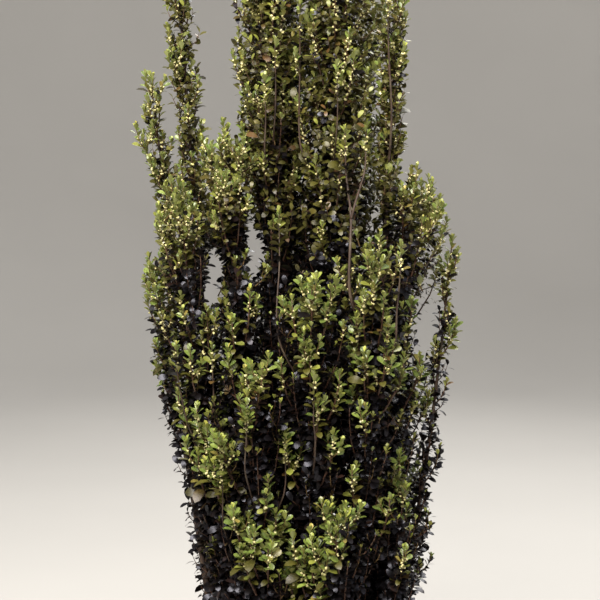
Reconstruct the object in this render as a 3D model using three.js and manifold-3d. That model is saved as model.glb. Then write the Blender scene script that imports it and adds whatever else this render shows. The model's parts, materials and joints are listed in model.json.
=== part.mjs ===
// Potted Japanese holly of the narrow, upright kind: a clump of near-vertical stems in a plain clay pot.
// Millimetres, +Z up, origin at the centre of the pot's underside. The front of the plant faces -Y.
import * as THREE from "three";
import { mergeVertices } from "three/addons/utils/BufferGeometryUtils.js";
import Module from "manifold-3d";

const wasm = await Module();
wasm.setup();

// Clearance left between pieces that stand on, or grow out of, each other
const seatGap = 0.3;

// Pot and compost
const potHeight = 315;
const potRimRadius = 180;
const potBaseRadius = 122;
const potWall = 14;
const rimBandHeight = 46;
const rimBandProud = 8;
const lipRounding = 5;
const floorCorner = 8;
const potSides = 28;
const drainHoleRadius = 8;
const drainHoleCircle = 60;
const drainHoles = 3;
const drainHoleSides = 8;
const compostTop = 290;
const compostSlack = 1;

// Stock: the short woody foot that all the stems rise from
const stockTop = 340;
const stockTopRadius = 38;
const stockWaistRadius = 30;
const stockFlareRadius = 48;
const stockLobes = 5;
const stockLobeDepth = 0.14;
const stockSides = 15;
const stockSegments = 4;

// Stems. Their lines run straight from lineFoot to the tips, and bend in to the stock below that.
const lineFoot = 430;
const usualLean = 0.62;
const seatCircle = 27; // the ring on the stock's top that the main stems stand on
const mainBend = 112; // height over which a main stem swings out to its line
const sideBend = 84;
const lowBend = 75;
const mainStemRadius = 7;
const sideStemRadius = 5.4;
const lowStemRadius = 3.8;
const lowStemPace = 2;
const lowStemSegments = 6;
const enteringRadius = 4.2; // of a stem where it enters its foliage
const stemTipRadius = 1.9;
const stemSides = 5;
const innerStemSides = 4;
const twigSides = 3;
const stemSegmentHeight = 110;
const stemSway = 16;
const stemClearance = 11; // kept by other foliage from the middle of a bare stem

// Leaves, larger than life because they are fewer
const leafLength = 68;
const leafWidth = 36;
const leafThickness = 3;
const leafWidest = 0.56; // share of the length where the blade is widest
const leafRib = 0.34; // share of the length where the rib stands out most
const leafSunk = 1.9; // how far a leaf's root passes the middle of its twig
const sizeVariety = 0.15; // share by which leaves and twigs are larger or smaller than usual
const foliageSeed = 300; // added to the column's own seed
const lowestLeaf = 368;

// What a leaf tries where the space is short: steeper against its twig and so smaller, and turned round it
const shrinkWhenSteeper = 0.4;
const leafTries = [
  { steeper: 1, turned: 0 },
  { steeper: 0.8, turned: 0.5 },
  { steeper: 0.65, turned: -0.5 },
  { steeper: 0.5, turned: 0.25 },
  { steeper: 0.35, turned: 0 },
];

// Twigs: upright side shoots that leave the stem and run up beside it
const twigRadius = 3;
const twigTipShare = 0.75; // of twigRadius, at the tip
const twigRise = 105;
const twigsOnColumn = 2;
const sidesTried = 3; // for each twig
const lowestTwig = 6; // above the foot of the column's foliage
const twigProbes = [0.4, 0.7, 1]; // shares of a twig's length that have to lie in the space
const twigOffset = 0.72; // of the space's reach
const outwardPull = 14;
const leavesOnTwig = 4;
const twigLeafShares = [0.44, 0.96]; // of the twig's length, at its first and last leaf
const twigLeafSpreads = [0.92, 0.5]; // angles between twig and leaf there
const twigLeafFan = [0.3, 1.1]; // angles to either side of the twig's own bearing
const budRadius = 5;
const budShare = 0.6; // of the twig's length, at the flower buds
const goldenAngle = Math.PI * (3 - Math.sqrt(5));

// Leaves on a column's own stem
const leavesAtTip = 4;
const rosetteTop = 3; // from the stem's tip down to the first leaf
const rosetteSpacing = 8;
const spireSpacing = 30;
const tipSpread = 0.3;
const spreadStep = 0.1;
const widestSpread = 0.95;

// The space that belongs to a column's foliage
const spaceGap = 1;
const tightestReach = 24; // the least room that a twig grows in
const leafOverhang = 1.35; // how far past a column's girth its leaves may reach
const endFullness = 0.72; // of the girth, at the foot and at the tip
const footFilling = 2; // how fast it fills out from the foot, and from the tip
const tipFilling = 2.8;
const probeStep = 2;

// Core: the dark inside of a dense column
const coreShare = 0.5; // of the space's reach
const coreSides = 7;
const coreRingHeight = 115;
const coreRounding = 110;
const coreFootShare = 0.5;
const coreTipShare = 0.25;
const coreAboveFoot = 14;
const coreBelowTop = 88;
const coreUnevenness = 0.14;
const coreSeed = 100; // added to the column's own seed
const coreLeafSpacing = 24;
const coreLeafFoot = 20;
const coreLeafRoot = 0.6; // of the core's reach, where its leaves are rooted
const coreLeafSpread = 0.92;
const freeShare = 0.8; // of the girth, the room that a leaf on the core needs

// The columns of foliage. x and y are the place of the tip and top its height, girth is the radius of the
// foliage, and foot is the height where it begins. lean says how far out the stem's line stands at lineFoot,
// as a share of x and y. A spire is thin: it has no core and no twigs, only leaves along its stem.
// A column with a seat rises from the stock's top at that bearing, or from its middle where the seat is null.
// The others fork off the stem of the column that from names, at the height that root gives.
const columns = [
  { name: "centre_left", x: -68, y: -26, top: 1532, girth: 52, foot: 700, seat: 190 },
  { name: "centre_right", x: 36, y: -32, top: 1542, girth: 62, foot: 720, seat: null },
  { name: "back_left", x: -50, y: 74, top: 1486, girth: 58, foot: 690, seat: 120 },
  { name: "back_right", x: 62, y: 78, top: 1440, girth: 58, foot: 700, seat: 55 },
  { name: "left_spire", x: -206, y: -4, top: 1505, girth: 33, spire: true, foot: 474, seat: 155 },
  { name: "left_inner", x: -128, y: -58, top: 1214, girth: 50, foot: 560, seat: 225 },
  { name: "right_shoulder", x: 144, y: -40, top: 1142, girth: 50, foot: 440, seat: 345, lean: 0.6 },
  { name: "front_right", x: 92, y: -116, top: 1058, girth: 50, foot: 430, seat: 305 },
  { name: "front_centre", x: -8, y: -128, top: 992, girth: 50, foot: 440, seat: 265 },
  { name: "right_back", x: 150, y: 52, top: 1130, girth: 54, foot: 430, seat: 20 },
  {
    name: "right_spire", x: 118, y: -52, top: 1458, girth: 27, spire: true,
    foot: 1030, from: "centre_right", root: 470,
  },
  {
    name: "left_shoulder", x: -204, y: -72, top: 1122, girth: 48,
    foot: 500, from: "left_inner", root: 400,
  },
  {
    name: "left_short_spire", x: -248, y: 26, top: 1290, girth: 28, spire: true,
    foot: 940, from: "left_spire", root: 372,
  },
  {
    name: "left_low_spire", x: -248, y: -34, top: 1024, girth: 27, spire: true,
    foot: 740, from: "left_spire", root: 418,
  },
  { name: "left_back", x: -152, y: 78, top: 1150, girth: 56, foot: 450, from: "back_left", root: 372 },
  {
    name: "right_thin_spire", x: 206, y: -10, top: 1050, girth: 28, spire: true,
    foot: 450, from: "right_shoulder", root: 372,
  },
  {
    name: "front_left", x: -96, y: -138, top: 882, girth: 50,
    foot: 430, from: "left_inner", root: 384,
  },
  { name: "rear_left", x: -76, y: 148, top: 985, girth: 52, foot: 430, from: "back_left", root: 385 },
  {
    name: "rear_centre", x: 14, y: 154, top: 1105, girth: 52,
    foot: 440, from: "back_right", root: 378,
  },
  {
    name: "rear_right", x: 102, y: 134, top: 1010, girth: 52,
    foot: 430, from: "back_right", root: 392,
  },
];

// Low clusters round the foot of the clump, whose stems spring from the side of the stock
const lowClusters = [
  { name: "low_front_left", bearing: 217, reach: 165, top: 742 },
  { name: "low_front", bearing: 288, reach: 162, top: 668 },
  { name: "low_front_right", bearing: 328, reach: 160, top: 690 },
  { name: "low_right_back", bearing: 37, reach: 165, top: 722 },
  { name: "low_back", bearing: 100, reach: 165, top: 676 },
  { name: "low_left_back", bearing: 136, reach: 165, top: 730 },
];
const lowGirth = 50;
const lowLean = 0.74;
const lowRoot = 306;

const finish = (color, roughness) => new THREE.MeshStandardMaterial({ color, roughness, metalness: 0 });
const clay = finish(0xa8583a, 0.8);
const soil = finish(0x2e211a, 0.95);
const bark = finish(0x5a3d30, 0.85);
const foliage = finish(0x2f4a20, 0.4);
const paleFoliage = finish(0x4f7429, 0.42);

const blend = (a, b, share) => a + (b - a) * share;
const varied = (random, share = sizeVariety) => blend(1 - share, 1 + share, random());
const fastThenSlow = (share) => share * (2 - share);
const slowThenSlow = (share) => share * share * (3 - 2 * share);

// A repeatable series of numbers from 0 to 1, one series for each seed.
function seededSeries(seed) {
  let state = seed * 7919 + 17;
  return () => {
    state = (state * 16807) % 2147483647;
    return state / 2147483647;
  };
}

function solidOf(geometry) {
  const bare = new THREE.BufferGeometry().setAttribute("position", geometry.getAttribute("position"));
  if (geometry.index) bare.setIndex(geometry.index);
  const merged = mergeVertices(bare, 1e-3);
  const vertProperties = merged.attributes.position.array;
  const triVerts = new Uint32Array(merged.index.array);
  return new wasm.Manifold(new wasm.Mesh({ numProp: 3, vertProperties, triVerts }));
}

function geometryOf(solid) {
  const mesh = solid.getMesh();
  const positions = new Float32Array(mesh.numVert * 3);
  for (let i = 0; i < mesh.numVert; i++) {
    positions.set(mesh.vertProperties.subarray(i * mesh.numProp, i * mesh.numProp + 3), i * 3);
  }
  return new THREE.BufferGeometry()
    .setAttribute("position", new THREE.BufferAttribute(positions, 3))
    .setIndex(new THREE.BufferAttribute(mesh.triVerts, 1));
}

const joined = (solids) => solids.reduce((whole, piece) => whole.add(piece));
const larger = (one, other) => (other.volume() > one.volume() ? other : one);
const largest = (solid) => solid.decompose().reduce(larger);

// Places of the columns

function prepare(column, index) {
  const low = column.bearing !== undefined;
  const bearing = THREE.MathUtils.degToRad(column.bearing ?? column.seat ?? 0);
  const random = seededSeries(index + 1);
  const settled = { lean: usualLean, ...column, seed: index + 1, low };
  if (low) {
    settled.x = column.reach * Math.cos(bearing);
    settled.y = column.reach * Math.sin(bearing);
    const usual = { girth: lowGirth, lean: lowLean, root: lowRoot, foot: lowestLeaf, bend: lowBend };
    Object.assign(settled, usual);
  }
  const seated = column.seat !== undefined;
  if (seated) Object.assign(settled, { root: stockTop + seatGap, bend: mainBend });
  if (column.from) settled.bend = sideBend;
  const seatRadius = seated && column.seat !== null ? seatCircle : 0;
  settled.seatX = seatRadius * Math.cos(bearing);
  settled.seatY = seatRadius * Math.sin(bearing);
  settled.swayX = (random() - 0.5) * stemSway;
  settled.swayY = (random() - 0.5) * stemSway;
  return settled;
}

const masses = [...columns, ...lowClusters].map(prepare);
masses.forEach((column) => {
  column.parent = masses.find((other) => other.name === column.from);
});

// The middle of a column's stem at a height: its line, and below that the bend in to the stock or its parent.
function axisPoint(column, height) {
  const share = (height - lineFoot) / (column.top - lineFoot);
  const place = blend(column.lean, 1, share);
  const sway = Math.sin(Math.PI * THREE.MathUtils.clamp(share, 0, 1));
  const line = new THREE.Vector3(column.x, column.y, 0).multiplyScalar(place);
  line.add(new THREE.Vector3(column.swayX, column.swayY, 0).multiplyScalar(sway)).setZ(height);
  const rise = THREE.MathUtils.clamp((height - column.root) / column.bend, 0, 1);
  if (rise === 1) return line;
  const upright = !column.parent && !column.low;
  const origin = column.parent ? axisPoint(column.parent, height) : { x: column.seatX, y: column.seatY };
  const swing = upright ? slowThenSlow(rise) : fastThenSlow(rise);
  return line.set(blend(origin.x, line.x, swing), blend(origin.y, line.y, swing), height);
}

// Radius of a column's foliage: drawn in at the foot, full above it, and rounded off towards the tip.
function girthAt(column, height) {
  const share = THREE.MathUtils.clamp((height - column.foot) / (column.top - column.foot), 0, 1);
  const footFill = Math.min(1, endFullness + footFilling * share);
  const tipFill = Math.min(1, endFullness + tipFilling * (1 - share));
  return column.girth * footFill * tipFill;
}

const flatDistance = (a, b) => Math.hypot(a.x - b.x, a.y - b.y);

// A point is in a column's space where it is nearer to that column than to every other, with each distance
// measured from the rim of that column's foliage, and where it is clear of the bare stems and the stock.
function inSpace(column, point, gap = spaceGap) {
  if (point.z < lowestLeaf || point.z < column.foot || point.z > column.top) return false;
  const own = axisPoint(column, point.z);
  const ownDistance = flatDistance(point, own);
  const ownGirth = girthAt(column, point.z);
  if (ownDistance > ownGirth * leafOverhang) return false;
  return masses.every((other) => {
    if (other === column) return true;
    if (point.z > other.top + leafLength || point.z < other.root) return true;
    const centre = axisPoint(other, point.z);
    const distance = flatDistance(point, centre);
    if (point.z < other.foot && distance < stemClearance) return false;
    if (point.z < other.foot - leafLength) return true;
    const girth = girthAt(other, point.z);
    const lead = distance ** 2 - girth ** 2 - (ownDistance ** 2 - ownGirth ** 2);
    return lead > 2 * gap * flatDistance(own, centre);
  });
}

// How far a column's space reaches from its stem, at a height and in one direction.
function reachAt(column, height, angle) {
  const centre = axisPoint(column, height);
  const probe = new THREE.Vector3(0, 0, height);
  let reach = 0;
  for (let radius = probeStep; radius <= column.girth; radius += probeStep) {
    probe.x = centre.x + Math.cos(angle) * radius;
    probe.y = centre.y + Math.sin(angle) * radius;
    if (!inSpace(column, probe)) break;
    reach = radius;
  }
  return reach;
}

// Of some bearings a golden angle apart, the one with the most room and nearest to the outside of the plant.
function freestSide(column, height, firstTurn) {
  const outside = Math.atan2(column.y, column.x);
  const sides = Array.from({ length: sidesTried }, (_, i) => {
    const angle = (firstTurn + i) * goldenAngle + column.seed;
    const reach = reachAt(column, height, angle);
    return { angle, reach, worth: reach + outwardPull * Math.cos(angle - outside) };
  });
  return sides.reduce((best, side) => (side.worth > best.worth ? side : best));
}

// A curve that follows a column's stem from one height to another.
// A pace over 1 crowds its points into the bend below.
class StemCurve extends THREE.Curve {
  constructor(column, from, to, pace = 1) {
    super();
    Object.assign(this, { column, from, to, pace });
  }
  getPoint(share) {
    return axisPoint(this.column, blend(this.from, this.to, share ** this.pace));
  }
}

// A tapering limb: a cylinder whose rings are laid along a curve.
// radiusAt takes the share of the length and the angle, which starts from the side that faces -Y.
function limb(curve, radiusAt, sides, segments) {
  const tube = new THREE.CylinderGeometry(1, 1, 1, sides, segments);
  const place = tube.getAttribute("position");
  for (let i = 0; i < place.count; i++) {
    const share = place.getY(i) + 0.5;
    const along = curve.getTangent(share);
    const sideways = new THREE.Vector3(0, 1, 0).cross(along).normalize();
    const forward = new THREE.Vector3().crossVectors(sideways, along);
    const angle = Math.atan2(place.getX(i), place.getZ(i));
    const radius = Math.hypot(place.getX(i), place.getZ(i)) * radiusAt(share, angle);
    const point = curve.getPoint(share);
    point.addScaledVector(forward, Math.cos(angle) * radius);
    point.addScaledVector(sideways, Math.sin(angle) * radius);
    place.setXYZ(i, point.x, point.y, point.z);
  }
  return solidOf(tube);
}

const taper = (from, to) => (share) => blend(from, to, share);

// Stock and stems

function stockSolid(extra = 0) {
  const line = new THREE.LineCurve3(
    new THREE.Vector3(0, 0, compostTop + seatGap - extra),
    new THREE.Vector3(0, 0, stockTop + extra),
  );
  const radiusAt = (share, angle) => {
    const flare = (1 - share) ** 3;
    const waist = blend(stockWaistRadius, stockFlareRadius, flare);
    const shoulder = (stockTopRadius - stockWaistRadius) * share ** 2;
    return (waist + shoulder) * (1 + stockLobeDepth * flare * Math.cos(stockLobes * angle)) + extra;
  };
  return limb(line, radiusAt, stockSides, stockSegments);
}

const stemSegments = (from, to) => Math.max(2, Math.round((to - from) / stemSegmentHeight));

function bareStemSolid(column, extra = 0) {
  const to = column.foot - seatGap + extra;
  const foot = column.parent ? sideStemRadius : mainStemRadius;
  const curve = new StemCurve(column, column.root - extra, to);
  const radiusAt = taper(foot + extra, enteringRadius + extra);
  const stem = limb(curve, radiusAt, stemSides, stemSegments(column.root, to));
  if (!column.parent || extra) return stem;
  return largest(stem.subtract(bareStemSolid(column.parent, seatGap)));
}

// Leaves and twigs

const outwards = (angle) => new THREE.Vector3(Math.cos(angle), Math.sin(angle), 0);
const blended = (a, shareA, b, shareB) => a.clone().multiplyScalar(shareA).addScaledVector(b, shareB);

// The corners of a leaf: its root, its right side, its tip, its left side, and the keel of the rib under it.
function leafCorners(root, along, face, length) {
  const across = new THREE.Vector3().crossVectors(along, face).normalize();
  const normal = new THREE.Vector3().crossVectors(across, along).normalize();
  const corner = (share, side, lift) =>
    root
      .clone()
      .addScaledVector(along, length * share)
      .addScaledVector(across, side)
      .addScaledVector(normal, lift);
  const half = leafWidth / 2;
  return [
    root,
    corner(leafWidest, half, 0),
    corner(1, 0, 0),
    corner(leafWidest, -half, 0),
    corner(leafRib, 0, -leafThickness),
  ];
}

const leafFaces = [0, 1, 3, 1, 2, 3, 1, 0, 4, 2, 1, 4, 3, 2, 4, 0, 3, 4];
const leafSolid = (corners) => solidOf(new THREE.BufferGeometry().setFromPoints(corners).setIndex(leafFaces));

// Points all over a leaf: its corners but the root, the middles of its edges, and the middle of its blade.
function leafProbes([root, right, tip, left, keel]) {
  const middle = (a, b) => a.clone().lerp(b, 0.5);
  const edges = [middle(root, right), middle(right, tip), middle(tip, left), middle(left, root)];
  return [right, tip, left, keel, ...edges, middle(right, left)];
}

// A leaf on a twig, spreading away from it by an angle. Where it would leave the column's space or cross what
// has grown there already, it is tried again steeper, smaller and turned a little, and in the end left out.
function growLeaf(column, grown, carriers, at, up, turn, spread, length) {
  for (const { steeper, turned } of leafTries) {
    const away = outwards(turn + turned);
    const angle = spread * steeper;
    const along = blended(away, Math.sin(angle), up, Math.cos(angle)).normalize();
    const face = blended(up, Math.sin(angle), away, -Math.cos(angle));
    const root = at.clone().addScaledVector(along, -leafSunk);
    const corners = leafCorners(root, along, face, length * blend(1, steeper, shrinkWhenSteeper));
    if (!leafProbes(corners).every((point) => inSpace(column, point))) continue;
    const solid = leafSolid(corners);
    if (grown.some((piece) => !carriers.includes(piece) && !piece.intersect(solid).isEmpty())) continue;
    grown.push(solid);
    return;
  }
}

// The line of a twig that leaves the stem and runs up beside it, or nothing where the space is too tight.
function twigLine(column, height, angle, reach, random) {
  const rise = twigRise * varied(random);
  const tip = axisPoint(column, height + rise).addScaledVector(outwards(angle), reach * twigOffset);
  const line = new THREE.LineCurve3(axisPoint(column, height), tip);
  const fits = twigProbes.every((share) => inSpace(column, line.getPoint(share), spaceGap + twigRadius));
  return fits ? line : null;
}

// The leaves of one twig, fanned to the outside.
function growTwigLeaves(column, grown, carriers, line, angle, random) {
  for (let i = 0; i < leavesOnTwig; i++) {
    const rank = i / (leavesOnTwig - 1);
    const share = blend(...twigLeafShares, rank);
    const turn = angle + (i % 2 ? 1 : -1) * blend(...twigLeafFan, random());
    const spread = blend(...twigLeafSpreads, rank) * varied(random);
    const length = leafLength * varied(random);
    growLeaf(column, grown, carriers, line.getPoint(share), line.getTangent(share), turn, spread, length);
  }
}

// A cluster of flower buds in the leaf angles, as one eight-faced bead.
function budSolids(column, line, out) {
  const middle = line.getPoint(budShare).addScaledVector(out, twigRadius);
  if (!inSpace(column, middle.clone().addScaledVector(out, budRadius))) return [];
  return [solidOf(new THREE.OctahedronGeometry(budRadius).translate(middle.x, middle.y, middle.z))];
}

// Leaves on the column's own stem: the rosette at its head and, on a thin spire, the rest of the way down.
function growStemLeaves(column, grown, carriers, tip, random) {
  const up = new THREE.Vector3(0, 0, 1);
  const lowest = column.spire ? column.foot : tip - rosetteSpacing * leavesAtTip;
  let height = tip - rosetteTop;
  for (let i = 0; height > lowest; i++) {
    const turn = i * goldenAngle + column.seed;
    const spread = Math.min(tipSpread + spreadStep * i, widestSpread);
    const length = leafLength * varied(random);
    growLeaf(column, grown, carriers, axisPoint(column, height), up, turn, spread, length);
    height -= i + 1 < leavesAtTip ? rosetteSpacing : spireSpacing;
  }
}

// How far the dense inside of a column reaches, at a height and in one direction.
function coreReach(column, height, angle) {
  const fromFoot = (height - column.foot) / coreRounding;
  const fromTip = (column.top - leafLength - height) / coreRounding;
  const rounding = Math.min(1, blend(coreFootShare, 1, fromFoot), blend(coreTipShare, 1, fromTip));
  return Math.max(enteringRadius, reachAt(column, height, angle) * coreShare * rounding);
}

// The dark inside of a dense column, which its leaves stand out of.
function coreSolid(column) {
  const from = column.foot + coreAboveFoot;
  const to = column.top - coreBelowTop;
  const rings = Math.max(2, Math.round((to - from) / coreRingHeight));
  const random = seededSeries(column.seed + coreSeed);
  const unevenness = Array.from({ length: rings + 1 }, () => varied(random, coreUnevenness));
  const radiusAt = (share, angle) => {
    const reach = coreReach(column, blend(from, to, share), angle - Math.PI / 2);
    return reach * unevenness[Math.round(share * rings)];
  };
  return limb(new StemCurve(column, from, to), radiusAt, coreSides, rings);
}

// Leaves rooted in the core, wherever the column stands free.
function growCoreLeaves(column, grown, carriers, tip, random) {
  const up = new THREE.Vector3(0, 0, 1);
  const lowest = column.foot + coreLeafFoot;
  for (let i = 0; lowest + i * coreLeafSpacing < tip - leafLength; i++) {
    const height = lowest + i * coreLeafSpacing;
    const angle = i * goldenAngle + column.seed;
    const spread = coreLeafSpread * varied(random);
    const length = leafLength * varied(random);
    if (reachAt(column, height + leafLength / 2, angle) < column.girth * freeShare) continue;
    const out = coreLeafRoot * coreReach(column, height, angle);
    const at = axisPoint(column, height).addScaledVector(outwards(angle), out);
    growLeaf(column, grown, carriers, at, up, angle, spread, length);
  }
}

// The stem inside a column's foliage. A low cluster's stem runs on down to the side of the stock.
function innerStemSolid(column, tip) {
  if (!column.low) {
    const curve = new StemCurve(column, column.foot, tip);
    return limb(curve, taper(enteringRadius, stemTipRadius), innerStemSides, stemSegments(column.foot, tip));
  }
  const curve = new StemCurve(column, column.root, tip, lowStemPace);
  const stem = limb(curve, taper(lowStemRadius, stemTipRadius), innerStemSides, lowStemSegments);
  return largest(stem.subtract(stockSolid(seatGap)));
}

// The twigs of a dense column, from the highest down, each on the freest side that is left to it.
function growTwigs(column, grown, tip, random) {
  const twigs = [];
  for (let i = 0; i < twigsOnColumn; i++) {
    const height = blend(tip - twigRise, column.foot + lowestTwig, (i + random()) / twigsOnColumn);
    const { angle, reach } = freestSide(column, height + twigRise, i * sidesTried);
    const line = reach < tightestReach ? null : twigLine(column, height, angle, reach, random);
    if (!line) continue;
    const twig = limb(line, taper(twigRadius, twigRadius * twigTipShare), twigSides, 1);
    if (!twigs.length) grown.push(...budSolids(column, line, outwards(angle)));
    twigs.push({ twig, line, angle });
    grown.push(twig);
  }
  return twigs;
}

// All of a column's foliage as one solid: stem, core, twigs, buds and leaves.
function massSolid(column) {
  const random = seededSeries(column.seed + foliageSeed);
  const tip = column.top - leafLength;
  const stem = innerStemSolid(column, tip);
  if (column.spire) {
    const grown = [stem];
    growStemLeaves(column, grown, [stem], tip, random);
    return largest(joined(grown));
  }
  const inside = [stem, coreSolid(column)];
  const grown = [...inside];
  const twigs = growTwigs(column, grown, tip, random);
  growStemLeaves(column, grown, inside, tip, random);
  for (const { twig, line, angle } of twigs) {
    growTwigLeaves(column, grown, [twig, ...inside], line, angle, random);
  }
  growCoreLeaves(column, grown, inside, tip, random);
  return largest(joined(grown));
}

// Pot and compost

const outerAt = (height) => blend(potBaseRadius, potRimRadius - rimBandProud, height / potHeight);
const innerAt = (height) => outerAt(height) - potWall;

function turned(profile) {
  const points = profile.map((point) => new THREE.Vector2(...point));
  return solidOf(new THREE.LatheGeometry(points, potSides).rotateX(Math.PI / 2));
}

function potSolid() {
  const bandFoot = potHeight - rimBandHeight;
  const shell = turned([
    [0, 0],
    [potBaseRadius - lipRounding, 0],
    [potBaseRadius, lipRounding],
    [outerAt(bandFoot), bandFoot],
    [outerAt(bandFoot) + rimBandProud, bandFoot + lipRounding],
    [potRimRadius, potHeight - lipRounding],
    [potRimRadius - lipRounding, potHeight],
    [innerAt(potHeight) + lipRounding, potHeight],
    [innerAt(potHeight), potHeight - lipRounding],
    [innerAt(potWall + floorCorner), potWall + floorCorner],
    [innerAt(potWall) - floorCorner, potWall],
    [0, potWall],
  ]);
  const holes = Array.from({ length: drainHoles }, (_, i) => {
    const middle = outwards((i * 2 * Math.PI) / drainHoles).multiplyScalar(drainHoleCircle);
    const bore = new THREE.CylinderGeometry(drainHoleRadius, drainHoleRadius, potWall * 3, drainHoleSides);
    return solidOf(bore.rotateX(Math.PI / 2).translate(middle.x, middle.y, potWall / 2));
  });
  return holes.reduce((pot, hole) => pot.subtract(hole), shell);
}

function compostSolid() {
  const floor = potWall + seatGap;
  const edge = compostTop - floorCorner;
  return turned([
    [0, floor],
    [innerAt(floor) - floorCorner - compostSlack, floor],
    [innerAt(floor + floorCorner) - compostSlack, floor + floorCorner],
    [innerAt(edge) - compostSlack, edge],
    [innerAt(edge) - floorCorner, compostTop],
    [0, compostTop],
  ]);
}

// Assembly

const plant = new THREE.Group();

function add(name, solid, material) {
  const mesh = new THREE.Mesh(geometryOf(solid), material);
  mesh.name = name;
  plant.add(mesh);
}

add("pot", potSolid(), clay);
add("compost", compostSolid(), soil);
add("stock", stockSolid(), bark);
masses.forEach((column) => {
  if (!column.low) add(`stem_${column.name}`, bareStemSolid(column), bark);
  add(`leaves_${column.name}`, massSolid(column), column.low ? paleFoliage : foliage);
});

export default plant;
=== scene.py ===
# %% [markdown]
# # A potted Japanese holly of the narrow, upright kind
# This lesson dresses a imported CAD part. The part is a clump of near-vertical stems in a clay pot. Each stem
# ends in a column of foliage, which the CAD gives with a few leaves that are larger than life.
# Here the same plant is grown again by the same rule, with leaves of true size, buds, bark and fired clay.
# Every length is in metres. +Z is up, and the side that the picture shows faces -Y.

import json
import math

import bpy
import numpy as np
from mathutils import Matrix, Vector

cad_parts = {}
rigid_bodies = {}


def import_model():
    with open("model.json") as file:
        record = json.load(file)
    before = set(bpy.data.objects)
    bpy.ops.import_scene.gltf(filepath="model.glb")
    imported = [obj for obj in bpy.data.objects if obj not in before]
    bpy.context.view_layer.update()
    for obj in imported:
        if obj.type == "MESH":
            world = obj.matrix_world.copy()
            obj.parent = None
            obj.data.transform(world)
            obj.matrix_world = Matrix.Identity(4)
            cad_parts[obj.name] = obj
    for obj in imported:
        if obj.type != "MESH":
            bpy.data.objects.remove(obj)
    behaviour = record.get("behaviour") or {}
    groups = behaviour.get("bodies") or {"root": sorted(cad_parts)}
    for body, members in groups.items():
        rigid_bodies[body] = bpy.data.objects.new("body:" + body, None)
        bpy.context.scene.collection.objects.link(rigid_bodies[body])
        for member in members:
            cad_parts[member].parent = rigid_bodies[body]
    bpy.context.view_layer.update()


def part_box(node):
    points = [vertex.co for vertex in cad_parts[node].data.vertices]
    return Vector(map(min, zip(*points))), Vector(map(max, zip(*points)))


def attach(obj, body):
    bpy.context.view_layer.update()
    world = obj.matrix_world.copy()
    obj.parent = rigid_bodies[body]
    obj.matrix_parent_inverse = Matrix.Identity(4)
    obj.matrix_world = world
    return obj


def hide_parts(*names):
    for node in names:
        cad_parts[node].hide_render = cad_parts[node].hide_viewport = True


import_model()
bpy.ops.object.select_all(action="DESELECT")

# %% [markdown]
# ## Camera
# The picture was taken from a little above the plant's middle, looking down slightly. It cuts off the tips
# above and the foot below. A camera could be set by eye, but it is surer to work it out: the picture spans
# 0.9 m at the plant, and the angle of view follows from that and from the distance.

# %% Camera
PICTURE_SIDE = 600  # the picture is 600 by 600 pixels
SPAN_AT_PLANT = 0.9
VIEW_CENTRE = Vector((-0.022, 0, 0.94))
VIEW_DISTANCE = 2.4
VIEW_TILT = math.radians(7)  # how far the camera looks down
VIEW_RIGHT = Vector((1, 0, 0))

half_angle = math.atan(SPAN_AT_PLANT / 2 / VIEW_DISTANCE)
pixel_reach = math.tan(half_angle) * 2 / PICTURE_SIDE  # the width of a pixel, 1 m from the camera
view_direction = Vector((0, math.cos(VIEW_TILT), -math.sin(VIEW_TILT)))
view_up = VIEW_RIGHT.cross(view_direction)
bpy.ops.object.camera_add(
    location=VIEW_CENTRE - VIEW_DISTANCE * view_direction,
    rotation=(math.pi / 2 - VIEW_TILT, 0, 0),
)
camera = bpy.context.object
camera.data.angle = 2 * half_angle
bpy.context.scene.camera = camera


def place_in_picture(across, down, y):
    """The point of the plane at y that the camera sees at a pixel of the picture."""
    sideways, upwards = across - PICTURE_SIDE / 2, PICTURE_SIDE / 2 - down
    ray = view_direction + VIEW_RIGHT * sideways * pixel_reach + view_up * upwards * pixel_reach
    return camera.location + ray * ((y - camera.location.y) / ray.y)


def seen_at(points):
    """Where the camera sees some points, as pixels across and down."""
    away = np.asarray(points) - np.array(camera.location)
    depth = away @ np.array(view_direction)
    across = PICTURE_SIDE / 2 + away[:, 0] / depth / pixel_reach
    return across, PICTURE_SIDE / 2 - away @ np.array(view_up) / depth / pixel_reach


print("the camera stands at", [round(c, 3) for c in camera.location])

# %% [markdown]
# ## Floor
# A plain pale floor runs up into a wall all round in a wide curve, as a studio's cove does, so that no edge
# shows behind the plant from any side. A plane and four walls would show their corners, so it is drawn up
# from a disc, as a potter draws up a wall: its rim is extruded and widened again and again. The pot and the
# compost are made with the same two helpers.

# %% Floor
FLOOR_RADIUS, COVE_RADIUS, WALL_TOP = 4.5, 2.5, 5.0
COVE_STEPS = 12


def take_rim():
    """Selects the rim of the piece in hand, in edit mode."""
    bpy.ops.object.mode_set(mode="EDIT")
    bpy.ops.mesh.select_mode(type="EDGE")
    bpy.ops.mesh.select_all(action="SELECT")
    bpy.ops.mesh.region_to_loop()


def draw_up(rings):
    """Draws the selected rim on from ring to ring. Each ring is (radius, height), the first one as it is."""
    for (radius, height), (next_radius, next_height) in zip(rings, rings[1:]):
        bpy.ops.mesh.extrude_edges_move(TRANSFORM_OT_translate={"value": (0, 0, next_height - height)})
        scale = next_radius / radius
        bpy.ops.transform.resize(value=(scale, scale, 1), center_override=(0, 0, next_height))


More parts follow.
